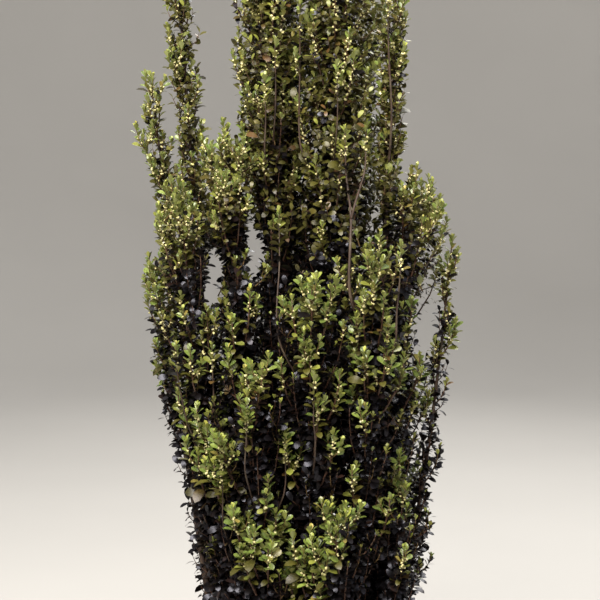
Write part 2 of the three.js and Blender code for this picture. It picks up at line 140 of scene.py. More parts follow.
cove = [(FLOOR_RADIUS, 0.0)]
for step in range(1, COVE_STEPS + 1):
    turn = math.radians(90 * step / COVE_STEPS)
    cove.append((FLOOR_RADIUS + COVE_RADIUS * math.sin(turn), COVE_RADIUS * (1 - math.cos(turn))))
cove.append((FLOOR_RADIUS + COVE_RADIUS, WALL_TOP))
bpy.ops.mesh.primitive_circle_add(vertices=96, radius=FLOOR_RADIUS, fill_type="NGON")
floor = bpy.context.object
floor.name = "floor"
take_rim()
draw_up(cove)
bpy.ops.mesh.select_mode(type="VERT")
bpy.ops.object.mode_set(mode="OBJECT")
bpy.ops.object.shade_smooth()
print("the floor rises in", len(cove), "rings")

# %% [markdown]
# ## Light
# The picture was taken under a bright, slightly blue sky. The cove is open above, so the sky's light falls in
# from there only, and the strongest lamp stands high and in front. Light from above leaves the inside of the
# plant dark, which is its strongest feature. A weak lamp opens the shadows at the right, and one behind gives
# the outline a light edge.

# %% Light
SKY_COLOUR = (0.90, 0.92, 0.97, 1)
SKY_STRENGTH = 0.30


def add_lamp(name, location, side, energy, colour):
    """A square lamp that faces the middle of the plant."""
    turn = (VIEW_CENTRE - Vector(location)).to_track_quat("-Z", "Y").to_euler()
    bpy.ops.object.light_add(type="AREA", location=location, rotation=turn)
    lamp = bpy.context.object
    lamp.name = name
    lamp.data.size = side
    lamp.data.energy = energy
    lamp.data.color = colour


add_lamp("key", (-1.0, -2.3, 3.9), 2.5, 465, (1, 0.95, 0.87))
add_lamp("fill", (2.6, -1.6, 2.2), 2.0, 16, (0.95, 0.96, 1))
add_lamp("rim", (1.1, 2.4, 3.4), 2.5, 130, (1, 0.98, 0.94))

world = bpy.data.worlds.new("studio")
bpy.context.scene.world = world
world.use_nodes = True
sky = world.node_tree.nodes["Background"]
sky.inputs["Color"].default_value = SKY_COLOUR
sky.inputs["Strength"].default_value = SKY_STRENGTH
bpy.context.scene.view_settings.view_transform = "Standard"
print("three lamps, and a sky of strength", SKY_STRENGTH)

# %% [markdown]
# ## Where the stems stand
# This is the rule of the CAD part, written again. Each column of foliage has a place for its tip, a height,
# a girth, and the height of its foot. A spire is a thin column that stands apart. A low one is a short
# cluster round the foot of the plant, and has its place as a bearing and a spread. The stems could be copied
# from the part's mesh, but a rule can be carried on to finer twigs, which the leaves need.

# %% Where the stems stand
COLUMNS = [  # x and y are the tip's place, and root is where a bough forks off its parent
    dict(name="centre_left", x=-0.068, y=-0.026, top=1.532, girth=0.052, foot=0.700, seat=190),
    dict(name="centre_right", x=0.036, y=-0.032, top=1.542, girth=0.062, foot=0.720, seat=None),
    dict(name="back_left", x=-0.050, y=0.074, top=1.486, girth=0.058, foot=0.690, seat=120),
    dict(name="back_right", x=0.062, y=0.078, top=1.440, girth=0.058, foot=0.700, seat=55),
    dict(name="left_spire", x=-0.206, y=-0.004, top=1.505, girth=0.033, spire=True,
         foot=0.474, seat=155, density=0.88),
    dict(name="left_inner", x=-0.128, y=-0.058, top=1.214, girth=0.050, foot=0.560, seat=225),
    dict(name="right_shoulder", x=0.144, y=-0.040, top=1.142, girth=0.050, foot=0.440, seat=345, lean=0.6),
    dict(name="front_right", x=0.092, y=-0.116, top=1.058, girth=0.050, foot=0.430, seat=305),
    dict(name="front_centre", x=-0.008, y=-0.128, top=0.992, girth=0.050, foot=0.440, seat=265),
    dict(name="right_back", x=0.150, y=0.052, top=1.130, girth=0.054, foot=0.430, seat=20),
    dict(name="right_spire", x=0.118, y=-0.052, top=1.458, girth=0.027, spire=True,
         foot=1.030, parent="centre_right", root=0.470),
    dict(name="left_shoulder", x=-0.204, y=-0.072, top=1.122, girth=0.048,
         foot=0.500, parent="left_inner", root=0.400),
    dict(name="left_short_spire", x=-0.248, y=0.026, top=1.290, girth=0.028, spire=True,
         foot=0.940, parent="left_spire", root=0.372, density=0.88),
    dict(name="left_low_spire", x=-0.248, y=-0.034, top=1.024, girth=0.027, spire=True,
         foot=0.740, parent="left_spire", root=0.418),
    dict(name="left_back", x=-0.152, y=0.078, top=1.150, girth=0.056,
         foot=0.450, parent="back_left", root=0.372),
    dict(name="right_thin_spire", x=0.206, y=-0.010, top=1.050, girth=0.028, spire=True,
         foot=0.450, parent="right_shoulder", root=0.372, density=0.45),
    dict(name="front_left", x=-0.096, y=-0.138, top=0.882, girth=0.050,
         foot=0.430, parent="left_inner", root=0.384),
    dict(name="rear_left", x=-0.076, y=0.148, top=0.985, girth=0.052,
         foot=0.430, parent="back_left", root=0.385),
    dict(name="rear_centre", x=0.014, y=0.154, top=1.105, girth=0.052,
         foot=0.440, parent="back_right", root=0.378),
    dict(name="rear_right", x=0.102, y=0.134, top=1.010, girth=0.052,
         foot=0.430, parent="back_right", root=0.392),
    dict(name="low_front_left", bearing=217, spread=0.165, top=0.742),
    dict(name="low_front", bearing=288, spread=0.162, top=0.668),
    dict(name="low_front_right", bearing=328, spread=0.160, top=0.690),
    dict(name="low_right_back", bearing=37, spread=0.165, top=0.722),
    dict(name="low_back", bearing=100, spread=0.165, top=0.676),
    dict(name="low_left_back", bearing=136, spread=0.165, top=0.730),
]
print(len(COLUMNS), "columns,", sum("spire" in row for row in COLUMNS), "of them thin spires")

# %% [markdown]
# ## A column and its stem
# A stem's line runs straight from LINE_FOOT to the tip, and below that it bends in to the stock or to the
# stem that it forks off. The small sway comes from the same series of numbers as in the part, so the stems
# here lie exactly where the part's stems lie.

# %% A column and its stem
STOCK_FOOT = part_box("stock")[0].z
STOCK_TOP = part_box("stock")[1].z
LINE_FOOT = 0.430
USUAL_LEAN = 0.62
SEAT_CIRCLE = 0.027
MAIN_BEND, SIDE_BEND, LOW_BEND = 0.112, 0.084, 0.075
STEM_SWAY = 0.016
LOW_GIRTH, LOW_LEAN, LOW_ROOT, LOWEST_LEAF = 0.050, 0.74, 0.306, 0.368
END_GIRTH = 0.72  # a column's girth at both ends, as a share of its fullest
FOOT_WIDENING, TIP_NARROWING = 2, 2.8
SERIES_STEP, SERIES_SIZE = 16807, 2147483647


def seeded_series(seed):
    """The part's repeatable series of numbers from 0 to 1."""
    state = seed * 7919 + 17
    while True:
        state = state * SERIES_STEP % SERIES_SIZE
        yield state / SERIES_SIZE


class Column:
    """One column of foliage and its stem."""

    def __init__(self, seed, name, top, x=0, y=0, girth=LOW_GIRTH, foot=LOWEST_LEAF, lean=USUAL_LEAN,
                 spire=False, seat=None, parent=None, root=None, bearing=None, spread=0, density=1.0):
        self.seed, self.name, self.top, self.girth, self.foot = seed, name, top, girth, foot
        self.x, self.y, self.lean, self.spire = x, y, lean, spire
        self.density = density  # how thickly the shoots stand
        self.parent, self.low = parent, bearing is not None
        self.seat = np.zeros(2)
        series = seeded_series(seed)
        self.sway = np.array([next(series) - 0.5, next(series) - 0.5]) * STEM_SWAY
        if self.low:
            angle = math.radians(bearing)
            self.x, self.y = spread * math.cos(angle), spread * math.sin(angle)
            self.lean, self.root, self.bend = LOW_LEAN, LOW_ROOT, LOW_BEND
        elif parent:
            self.root, self.bend = root, SIDE_BEND
        else:
            self.root, self.bend = STOCK_TOP, MAIN_BEND
            if seat is not None:
                angle = math.radians(seat)
                self.seat = SEAT_CIRCLE * np.array([math.cos(angle), math.sin(angle)])

    def axis(self, heights):
        """The middles of the stem at some heights, as rows of x, y, z."""
        heights = np.asarray(heights, float)
        share = (heights - LINE_FOOT) / (self.top - LINE_FOOT)
        place = self.lean + (1 - self.lean) * share
        sway = np.sin(np.pi * np.clip(share, 0, 1))
        line = place[:, None] * np.array([self.x, self.y]) + sway[:, None] * self.sway
        rise = np.clip((heights - self.root) / self.bend, 0, 1)
        upright = not self.parent and not self.low
        swing = (rise * rise * (3 - 2 * rise) if upright else rise * (2 - rise))[:, None]
        start = by_name[self.parent].axis(heights)[:, :2] if self.parent else self.seat
        return np.column_stack([start + (line - start) * swing, heights])

    def girths(self, heights):
        """The radius of the foliage at some heights."""
        share = np.clip((np.asarray(heights) - self.foot) / (self.top - self.foot), 0, 1)
        widening = np.minimum(1, END_GIRTH + FOOT_WIDENING * share)
        return self.girth * widening * np.minimum(1, END_GIRTH + TIP_NARROWING * (1 - share))


columns = [Column(seed, **row) for seed, row in enumerate(COLUMNS, start=1)]
by_name = {column.name: column for column in columns}
print("the highest column ends at", max(column.top for column in columns), "m")

# %% [markdown]
# ## The room that each column has
# Columns that stand close share the room between them: a point belongs to the column whose rim is nearest.
# The part keeps its leaves apart with this test. Here it steers the shoots, so that each one fills its own
# room and the crown has the same outline as the part.

# %% The room that each column has
LEAF_OVERHANG = 1.12
STEM_CLEARANCE = 0.011
PART_LEAF = 0.068
PROBE_STEP = 0.003


def in_space(column, points):
    """Which of the points lie in the column's own room."""
    heights = points[:, 2]
    own = column.axis(heights)[:, :2]
    own_distance = np.linalg.norm(points[:, :2] - own, axis=1)
    own_girth = column.girths(heights)
    inside = (heights < column.top) & (own_distance < own_girth * LEAF_OVERHANG)
    for other in columns:
        if other is column:
            continue
        distance = np.linalg.norm(points[:, :2] - other.axis(heights)[:, :2], axis=1)
        bare = (heights > other.root) & (heights < other.foot) & (distance < STEM_CLEARANCE)
        leafy = (heights > other.foot - PART_LEAF) & (heights < other.top + PART_LEAF / 2)
        lead = distance**2 - other.girths(heights) ** 2 - (own_distance**2 - own_girth**2)
        inside &= ~bare & (~leafy | (lead > 0))
    return inside


def outwards(angles):
    """Level unit vectors at some bearings."""
    angles = np.asarray(angles, float)
    return np.stack([np.cos(angles), np.sin(angles), np.zeros_like(angles)], axis=-1)


def reach_at(column, heights, angles):
    """How far the column's room reaches from its stem, at some heights and bearings."""
    radii = np.arange(PROBE_STEP, column.girth * LEAF_OVERHANG, PROBE_STEP)
    middles = column.axis(heights)
    points = middles[:, None, :] + outwards(angles)[:, None, :] * radii[None, :, None]
    inside = in_space(column, points.reshape(-1, 3)).reshape(len(middles), len(radii))
    return np.cumprod(inside, axis=1).sum(axis=1) * PROBE_STEP


sample = by_name["centre_right"]
print("room to the front of centre_right:", reach_at(sample, [1.3], [-math.pi / 2]).round(3), "m")

# %% [markdown]
# ## What lies open to the light
# A shoot that ends inside the crown stays weak and dark, and one at its outside is strong. To tell them
# apart, three places just outside each tip are tested: are they inside another column? The darker leaves of a
# buried shoot are partly painted shade.

# %% What lies open to the light
LOOK_OUT = 0.045
LOOK_TURNS = (-0.7, 0, 0.7)
DENSE_SHARE = 0.9  # of a column's girth: further out its foliage is thin


def buried(points):
    """How many of the places just outside each point are inside another part of the crown, as a share."""
    covered = np.zeros(len(points))
    away = points[:, :2] / np.maximum(np.linalg.norm(points[:, :2], axis=1, keepdims=True), 1e-6)
    for turn in LOOK_TURNS:
        turned = np.column_stack([
            away[:, 0] * math.cos(turn) - away[:, 1] * math.sin(turn),
            away[:, 0] * math.sin(turn) + away[:, 1] * math.cos(turn),
        ])
        probe = points + np.column_stack([turned * LOOK_OUT, np.full(len(points), LOOK_OUT * 0.5)])
        hit = np.zeros(len(points), bool)
        for other in columns:
            distance = np.linalg.norm(probe[:, :2] - other.axis(probe[:, 2])[:, :2], axis=1)
            leafy = (probe[:, 2] > other.foot) & (probe[:, 2] < other.top)
            hit |= leafy & (distance < other.girths(probe[:, 2]) * DENSE_SHARE)
        covered += hit / len(LOOK_TURNS)
    return covered


inside_and_outside = np.array([[0, 0, 0.9], [0.2, -0.15, 0.9]])
print("buried shares of a point inside and one outside:", buried(inside_and_outside).round(2))

# %% [markdown]
# ## How a shoot runs
# On the real plant each stem carries many side shoots. A shoot leaves the stem at a slant and soon turns up
# beside it, which makes the plant so narrow. So each shoot here is one curve: it swings out first and rises
# later. Curve objects could carry it, but seven thousand of them are too many, so a shoot is only a row of
# points, which the wood and the leaves are laid on later.

# %% How a shoot runs
GOLDEN_ANGLE = math.pi * (3 - math.sqrt(5))
PATH_POINTS = 8
share = np.linspace(0, 1, PATH_POINTS)
SWING_OUT = 1 - (1 - share) ** 1.9
RISE_UP = 0.25 * share + 0.75 * share**1.25
print("past half way a shoot has swung out by", SWING_OUT[4].round(2), "and risen by", RISE_UP[4].round(2))

# %% [markdown]
# ## Places that stay open
# The picture shows through the plant in a long slit beside the thin spire, and in two openings between the
# left columns. No shoot ends in the slit, and none crosses an opening, so one sees right through. These
# places are given as pixels of the picture, because only the camera's line of sight tells where they are.

# %% Places that stay open
OPEN_PLACES = [  # across and down in pixels, and the radius
    (428, 276, 10), (427, 292, 13), (426, 310, 13), (425, 328, 12), (424, 341, 8),
]
WINDOWS = [
    (218, 262, 8), (216, 274, 9), (211, 286, 9), (209, 298, 8),
    (252, 236, 8), (257, 246, 9), (258, 256, 9), (252, 267, 8),
]
CLEAR_SHARE = 0.62  # leaves at a window's edge stand in as far as this share of its radius


def within(places, points, share=1.0):
    """Which of some points are seen within places of the picture."""
    across, down = seen_at(points)
    return np.any([np.hypot(across - x, down - y) < radius * share for x, y, radius in places], axis=0)


def shows_through(path):
    """Whether a shoot would end where the picture shows through beside a spire, or cross a window."""
    return within(OPEN_PLACES, path[-1:])[0] or within(WINDOWS, path).any()


shoots = []
LEAD, SIDE, SHORT, INNER, STEM = range(5)  # the orders of shoots


def add_shoot(path, radius, vigour, green, order, bare=0.1):
    """Keeps a shoot. Vigour says how large its tuft is, green how far down its leaves are still green, and
    bare what share of it has lost its leaves."""
    if not shows_through(path):
        shoots.append(dict(path=path, radius=radius, vigour=vigour, green=green, order=order, bare=bare))


print(len(OPEN_PLACES) + len(WINDOWS), "places stay open")

# %% [markdown]
# ## Light and dark in the crown
# The top of the plant stands in full light, and there the leaves stay green further down each shoot; that
# greener, paler top is partly painted light. Lower down, the picture shows dark pockets between the tufts,
# where nothing but old leaves and black shade is seen. Shoots that end in such a pocket stay weak, and their
# old, near-black leaves there are painted shade. This is done only in front: the back of the plant isn't
# seen.

# %% Light and dark in the crown
# Towards the top the leaves are kept greener and paler: partly painted light.
LIGHT_HEIGHTS, LIGHT_SHARES = [0.74, 0.93, 1.10, 1.28], [0.0, 0.28, 0.75, 1.0]
# Leaves seen in these pockets are made old and near-black: painted shade.
PAINTED_SHADE_POCKETS = [  # across and down in pixels, and the radius
    (275, 115, 16), (280, 148, 18), (318, 158, 13), (345, 168, 14), (304, 182, 16), (372, 182, 15),
    (262, 208, 18), (290, 215, 26), (326, 212, 17), (352, 196, 22), (395, 215, 22), (205, 250, 22),
    (240, 246, 15), (300, 246, 15), (352, 238, 17), (386, 246, 15), (405, 236, 13), (270, 290, 24),
    (300, 270, 12), (330, 302, 14), (200, 335, 16), (240, 328, 20), (268, 336, 34),
    (318, 350, 18), (228, 372, 20), (345, 345, 16), (308, 384, 22), (270, 415, 28), (345, 392, 18),
    (390, 380, 18), (306, 420, 30), (352, 402, 16), (236, 428, 18), (242, 470, 22), (286, 468, 26),
    (320, 462, 30), (362, 458, 30), (258, 500, 15), (352, 514, 26), (395, 522, 16), (362, 548, 24),
    (264, 572, 18), (366, 585, 26), (240, 588, 20), (284, 592, 20), (330, 594, 18),
    (434, 415, 15), (432, 440, 14), (428, 465, 14), (423, 500, 14), (418, 535, 12),
]
POCKET_BACK = 0.03  # nothing behind this plane counts as seen
POCKET_STRETCH = 0.8  # pockets are taller than they are wide
POCKET_CORE, POCKET_FALL = 1.6, 1.1  # a pocket is fully dark in its middle half, and ends beyond its radius


def greenness(height):
    """How much light a height of the plant has, from 0 to 1. Leaf colour follows it, partly as painted light.
    """
    return float(np.interp(height, LIGHT_HEIGHTS, LIGHT_SHARES))


def in_painted_shade(points):
    """How deep in a pocket of painted shade some tips are seen, from 0 to 1."""
    across, down = seen_at(points)
    depth = np.zeros(len(across))
    for pocket_across, pocket_down, radius in PAINTED_SHADE_POCKETS:
        distance = np.hypot(across - pocket_across, (down - pocket_down) * POCKET_STRETCH)
        depth = np.maximum(depth, np.clip(POCKET_CORE - POCKET_FALL * distance / radius, 0, 1))
    return np.where(points[:, 1] < POCKET_BACK, depth, 0)


print(len(PAINTED_SHADE_POCKETS), "dark pockets")

# %% [markdown]
# ## Forks
# Near its tip a shoot splits into a few short ones that end side by side, in a tuft. They leave it one after
# the other, turned by the golden angle, as buds on a twig do.

# %% Forks
FORK_FROM, FORK_TO = 0.45, 0.85  # where on a shoot, as shares of its length
FORK_RISE, FORK_OUT = (0.022, 0.042), (0.009, 0.018)
FORK_RADIUS = 0.0009


def fork(path, random, count, vigour, green, size=1.0):
    """Short shoots near a shoot's tip, which end beside it."""
    first = random.uniform(0, 2 * math.pi)
    for i in range(count):
        at = random.uniform(FORK_FROM, FORK_TO)
        start = np.array([np.interp(at, share, path[:, axis]) for axis in range(3)])
        rise = random.uniform(*FORK_RISE) * size
        out = random.uniform(*FORK_OUT) * size
        away = outwards(first + i * GOLDEN_ANGLE)
        short = start + away * out * SWING_OUT[:, None]
        short[:, 2] += rise * RISE_UP
        add_shoot(short, FORK_RADIUS, vigour * random.uniform(0.7, 1.0), green, SHORT)


def shoot_path(column, start, rise, angle, reach):
    """The curve of a shoot that leaves the stem at a height, rises, and reaches out at a bearing."""
    return column.axis(start + rise * RISE_UP) + outwards(angle) * reach * SWING_OUT[:, None]


sample_path = shoot_path(sample, 1.3, 0.1, 0, 0.05)
print("a shoot that rises 0.1 m runs from", sample_path[0].round(3), "to", sample_path[-1].round(3))

# %% [markdown]
# ## Old twigs inside
# Close to the stem stand old side twigs that carry only old, dark leaves. One hardly sees them singly, but
# they make the inside dark: they cast real shade, and their near-black leaf colour is painted shade. In the
# crown some reach to the rim, which closes the slits between the columns, and below a column's foliage short
# ones clothe the stem. Black filling would be quicker, but it would look like paint, and seen from the side
# it would show.

# %% Old twigs inside
CROWN_FOOT = 1.0  # above this height the crown is at its densest
OLD_TWIG_SPACING = 0.0054
OLD_TWIG_RADIUS = 0.0010
OLD_TWIG_RISE, RIM_TWIG_RISE, BARE_TWIG_RISE = (0.014, 0.034), (0.020, 0.040), (0.012, 0.030)
OLD_TWIGS_BELOW, OLD_TWIGS_END = 0.03, 0.13  # from below the column's foot up to this far below its top
NEAREST, NOT_QUITE_OUT = 0.3, 0.8  # how far out they reach, as shares of the room
RIM_TWIG_SPACING, RIM_TWIG_SHARES = 0.008, (0.75, 1.0)
BARE_TWIG_SPACING, BARE_TWIG_GREEN = 0.009, 0.1
BARE_REACH_ON_SPIRE, BARE_REACH = (0.008, 0.020), (0.015, 0.045)


def grow_inner_twigs(column, random):
    """Old side twigs close to the stem. They carry only old leaves, whose near-black colour is painted shade,
    and make the inside dark.
    """
    end = column.top - OLD_TWIGS_END
    starts = np.arange(column.foot - OLD_TWIGS_BELOW, end, OLD_TWIG_SPACING / column.density)
    doubled = (column.density == 1) & ((starts < CROWN_FOOT - 0.2) | (starts > CROWN_FOOT))
    starts = np.concatenate([starts, starts[doubled] + 0.5 * OLD_TWIG_SPACING])
    angles = np.arange(len(starts)) * GOLDEN_ANGLE * 2 + random.uniform(0, 2 * math.pi)
    rises = random.uniform(*OLD_TWIG_RISE, len(starts))
    furthest = np.where((starts > CROWN_FOOT - 0.1) & (not column.spire), 1.0, NOT_QUITE_OUT)
    shares = random.uniform(NEAREST, furthest)
    if not column.spire:
        rim = np.arange(max(column.foot, CROWN_FOOT - 0.06), end, RIM_TWIG_SPACING)
        starts, angles = np.append(starts, rim), np.append(angles, np.arange(len(rim)) * GOLDEN_ANGLE)
        rises = np.append(rises, random.uniform(*RIM_TWIG_RISE, len(rim)))
        shares = np.append(shares, random.uniform(*RIM_TWIG_SHARES, len(rim)))
    reaches = reach_at(column, starts + rises, angles) * shares * (0.5 + 0.5 * column.density)
    for start, rise, angle, reach in zip(starts, rises, angles, reaches):
        path = shoot_path(column, start, rise, angle, reach)
        add_shoot(path, OLD_TWIG_RADIUS, 0.0, greenness(start), INNER, bare=0)


def clothe_bare_stem(column, random):
    """Short twigs on the stem, from where it leaves the stock up to the foot of its foliage."""
    shortest_and_longest = BARE_REACH_ON_SPIRE if column.spire else BARE_REACH
    starts = np.arange(max(column.root + 0.03, LINE_FOOT), column.foot, BARE_TWIG_SPACING)
    for i, start in enumerate(starts):
        rise, reach = random.uniform(*BARE_TWIG_RISE), random.uniform(*shortest_and_longest)
        path = shoot_path(column, start, rise, i * GOLDEN_ANGLE, reach)
        add_shoot(path, OLD_TWIG_RADIUS, 0.0, BARE_TWIG_GREEN, INNER, bare=0)


room = sum(column.top - column.foot for column in columns)
print(round(room, 2), "m of foliage, with an old twig every", OLD_TWIG_SPACING * 1000, "mm or closer")

# %% [markdown]
# ## The shoots of a column
# The part has two large twigs to a column. Here the same rule gives a shoot every few millimetres, up round
# the stem by the golden angle. The tops are rounded: the further out a shoot ends, the lower it ends. How
# strong a shoot is follows from where it ends: in the light, in the dark, or buried in the crown. At the
# sides and the back some strong ones stand out in tufts, as those do in front that the picture shows.

# %% The shoots of a column
SHOOT_SPACING, CROWN_SPACING, SPUR_SPACING = 0.0125, 0.0072, 0.0105  # a spur is a shoot on a thin spire
SHOOT_RISE, SPUR_RISE = (0.060, 0.140), (0.026, 0.060)
SHOOT_SHARES, SPUR_SHARES = (0.35, 1.0), (0.25, 0.8)
LEAD_LENGTH, LEAD_RADIUS, SHOOT_RADIUS = 0.14, 0.0016, 0.0013
STRONG, FORKED_LEAD = 1.1, 0.9
TIP_BELOW_TOP = 0.016
DOME_DEPTH = 1.1  # how much lower the shoots end at a column's rim, in girths
LEAST_RISE = 0.02
POCKET_SHADE = 0.9
DIM = 0.4  # below this greenness most shoots stay weak
WEAK_HEIGHTS, WEAK_CHANCES, WEAK = [0.6, 0.8], [0.8, 0.45], 0.25
TUFT_HEIGHTS, TUFT_CHANCES, TUFT_CHANCE_IN_VIEW = [0.5, 0.9], [0.42, 0.27], 0.05
FRONT_PLANE, PICTURE_FOOT = -0.04, 0.48  # what lies behind or below isn't in the picture
TUFT_GREEN = 0.25
SHADED_GREEN, MORE_GREEN = 0.35, 0.65  # buried in the crown, and what an open place adds
LEAST_VIGOUR, OPEN_VIGOUR, VIGOUR_SLACK = 0.10, 0.35, 0.25
UNLIT_VIGOUR, LIT_VIGOUR = 0.45, 0.75


def shoot_starts(column, random):
    """Heights and bearings at which the shoots of a column leave its stem."""
    spacing = (SPUR_SPACING if column.spire else SHOOT_SPACING) / column.density
    lowest = column.foot - (0.0 if column.spire else 0.015)
    starts = np.arange(lowest, column.top - 0.07, spacing)
    if not column.spire and column.top > CROWN_FOOT + 0.1:
        lower = starts[starts < CROWN_FOOT]
        crown = np.arange(max(CROWN_FOOT, lowest), column.top - 0.06, CROWN_SPACING)
        starts = np.concatenate([lower, crown])
    starts = starts + random.uniform(-0.4, 0.4, len(starts)) * spacing
    angles = np.arange(len(starts)) * GOLDEN_ANGLE + column.seed + random.uniform(-0.4, 0.4, len(starts))
    return starts, angles


def grow_column(column):
    """All the shoots of one column."""
    random = np.random.default_rng(column.seed + 40)
    lead = column.axis(np.linspace(column.top - LEAD_LENGTH, column.top - TIP_BELOW_TOP, PATH_POINTS))
    add_shoot(lead, LEAD_RADIUS, STRONG, greenness(column.top), LEAD)
    fork(lead, random, 3, FORKED_LEAD, greenness(column.top))
    starts, angles = shoot_starts(column, random)
    if column.spire:
        rises = random.uniform(*SPUR_RISE, len(starts))
        shares = random.uniform(*SPUR_SHARES, len(starts))
    else:
        rises = random.uniform(*SHOOT_RISE, len(starts))
        shares = random.uniform(*SHOOT_SHARES, len(starts)) ** 0.7
    dome = column.top - TIP_BELOW_TOP - starts - DOME_DEPTH * column.girth * shares**2
    rises = np.clip(rises, LEAST_RISE, np.maximum(dome, LEAST_RISE))
    spare = np.maximum(column.top - TIP_BELOW_TOP - starts - LEAST_RISE, 0)
    shares = np.minimum(shares, np.sqrt(spare / (DOME_DEPTH * column.girth)))
    reaches = reach_at(column, starts + rises, angles)
    tips = column.axis(starts + rises) + outwards(angles) * (reaches * shares)[:, None]
    cover = buried(tips)
    # Shoots seen in a pocket grow weak, with near-black leaves: painted shade.
    lit = 1 - POCKET_SHADE * in_painted_shade(tips)
    for i, (start, rise, angle) in enumerate(zip(starts, rises, angles)):
        path = shoot_path(column, start, rise, angle, reaches[i] * shares[i])
        height, open_share = tips[i, 2], 1 - cover[i]
        # Buried shoots, and weak ones low down, get darker leaves: partly painted shade.
        green = greenness(height) * (SHADED_GREEN + MORE_GREEN * open_share)
        vigour = LEAST_VIGOUR + OPEN_VIGOUR * open_share + random.uniform(0, VIGOUR_SLACK)
        vigour *= UNLIT_VIGOUR + LIT_VIGOUR * green
        if greenness(height) < DIM and random.uniform(0, 1) < np.interp(height, WEAK_HEIGHTS, WEAK_CHANCES):
            vigour *= WEAK
        vigour, green = vigour * lit[i], green * lit[i]
        out_of_view = (tips[i, 1] > FRONT_PLANE or height < PICTURE_FOOT) and open_share > 0.5
        chance = np.interp(height, TUFT_HEIGHTS, TUFT_CHANCES) if out_of_view else TUFT_CHANCE_IN_VIEW
        strong = random.uniform(0, 1) < chance * lit[i]
        if strong:
            vigour, green = STRONG, max(green, TUFT_GREEN)
        add_shoot(path, SHOOT_RADIUS, float(vigour), green, SIDE)
        count = 3 if strong else int(random.integers(0, 2 if column.spire else 3))
        fork(path, random, count, float(vigour), green)
    grow_inner_twigs(column, random)
    clothe_bare_stem(column, random)


for column in columns:
    grow_column(column)
print(len(shoots), "shoots")

# %% [markdown]
# ## Tufts that show in the picture
# Some tufts of young leaves stand out in the picture because they end in front of the dark inside. They are
# what one recognises this plant by, so each of them is grown where the picture shows it: the pixel of its tip
# gives a line of sight, and the shoot's tip is put where that line meets the front of the crown.

# %% Tufts that show in the picture
TUFTS = [  # across and down in pixels at the middle of the tuft's head, and its size
    (205, 428, 1.5), (222, 440, 1.3), (198, 452, 1.2), (214, 462, 1.1), (285, 438, 1.2), (334, 432, 1.0),
    (310, 345, 1.0), (262, 368, 1.0), (281, 362, 0.9), (340, 372, 0.9), (364, 352, 1.0), (268, 478, 1.0),
    (233, 508, 1.1), (276, 512, 1.2), (328, 508, 1.3), (336, 530, 1.1), (250, 532, 1.2), (268, 545, 1.1),
    (244, 548, 1.0), (300, 552, 1.4), (318, 545, 1.2), (312, 566, 1.2), (290, 572, 1.0), (390, 498, 0.9),
    (400, 452, 0.9), (366, 408, 0.9), (304, 334, 0.9), (246, 412, 0.9), (318, 400, 0.8), (228, 348, 0.9),
    (352, 470, 0.8), (404, 548, 0.9), (384, 296, 0.9), (388, 322, 0.9), (387, 345, 1.0), (404, 356, 1.0),
    (420, 356, 0.9), (214, 300, 0.9), (232, 318, 0.9), (356, 316, 1.0), (312, 282, 1.1), (331, 288, 1.0),
    (292, 300, 1.0), (372, 262, 1.0), (412, 300, 0.9), (190, 350, 0.9), (178, 392, 0.9), (250, 290, 0.9),
]
TUFT_RISE = 0.105
TUFT_VIGOUR, TUFT_TIPS_GREEN = 1.15, 0.2
TUFT_RADIUS = 0.0018
FRONT_Y = np.linspace(-0.24, 0.02, 53)  # planes at which a line of sight is tested


def front_of_crown(across, down):
    """The first point on the line of sight through a pixel that lies inside the crown, and its column."""
    for y in FRONT_Y:
        point = np.array(place_in_picture(across, down, y))
        for column in columns:
            if not column.foot < point[2] < column.top:
                continue
            distance = np.linalg.norm(point[:2] - column.axis([point[2]])[0, :2])
            if distance < column.girths([point[2]])[0]:
                return point, column
    return None, None


random = np.random.default_rng(7)
placed = 0
for across, down, size in TUFTS:
    tip, column = front_of_crown(across, down)
    if tip is None:
        continue
    start = column.axis([max(tip[2] - TUFT_RISE, column.foot)])[0]
    path = start + (tip - start) * np.column_stack([SWING_OUT, SWING_OUT, RISE_UP])
    forks = max(1, int(round(7 * size - 5)))
    add_shoot(path, TUFT_RADIUS, STRONG * size, TUFT_TIPS_GREEN, SIDE)
    fork(path, random, forks, TUFT_VIGOUR * size, TUFT_TIPS_GREEN, size)
    placed += 1
print(placed, "tufts placed,", len(shoots), "shoots in all")

# %% [markdown]
# ## Bare stems that show in the picture
# Between the tufts a few older stems show bare against the dark, the clearest of them forked. Each is a line
# of pixels from its foot upwards. It follows the front of the crown, starts at the limb behind, and ends in a
# leafy tip. Its wood gets the bark's relief further on, together with the thick stems.

# %% Bare stems that show in the picture
BARE_STEMS = [  # radius, whether it forks off the stem before it, then pixels from the foot to the tip
    (0.0026, False, (348, 296), (350, 252), (352, 212), (346, 182), (345, 150)),
    (0.0019, True, (354, 208), (358, 194), (365, 172), (366, 150)),
    (0.0018, False, (278, 344), (276, 322), (277, 300), (280, 262), (279, 232)),
    (0.0019, False, (397, 344), (396, 316), (399, 290), (401, 266)),
    (0.0016, False, (213, 420), (214, 396), (212, 366)),
    (0.0015, False, (222, 524), (223, 500), (222, 478)),
    (0.0015, False, (316, 444), (313, 420), (314, 396)),
    (0.0014, False, (285, 494), (286, 476), (285, 456)),
    (0.0017, False, (275, 118), (276, 92), (275, 62)),
    (0.0017, False, (264, 150), (266, 124), (265, 98)),
    (0.0016, False, (187, 424), (181, 396), (176, 366)),
    (0.0015, False, (244, 470), (246, 446), (247, 424)),
    (0.0017, False, (392, 122), (391, 90), (389, 60), (388, 30), (388, 8)),
    (0.0014, False, (337, 128), (338, 108), (337, 86)),
    (0.0016, False, (299, 150), (299, 110), (300, 66), (300, 24)),
]
IN_FRONT = 0.009
STEM_LEAN = 0.45  # a stem follows the front of the crown, but moves no faster than this as it rises
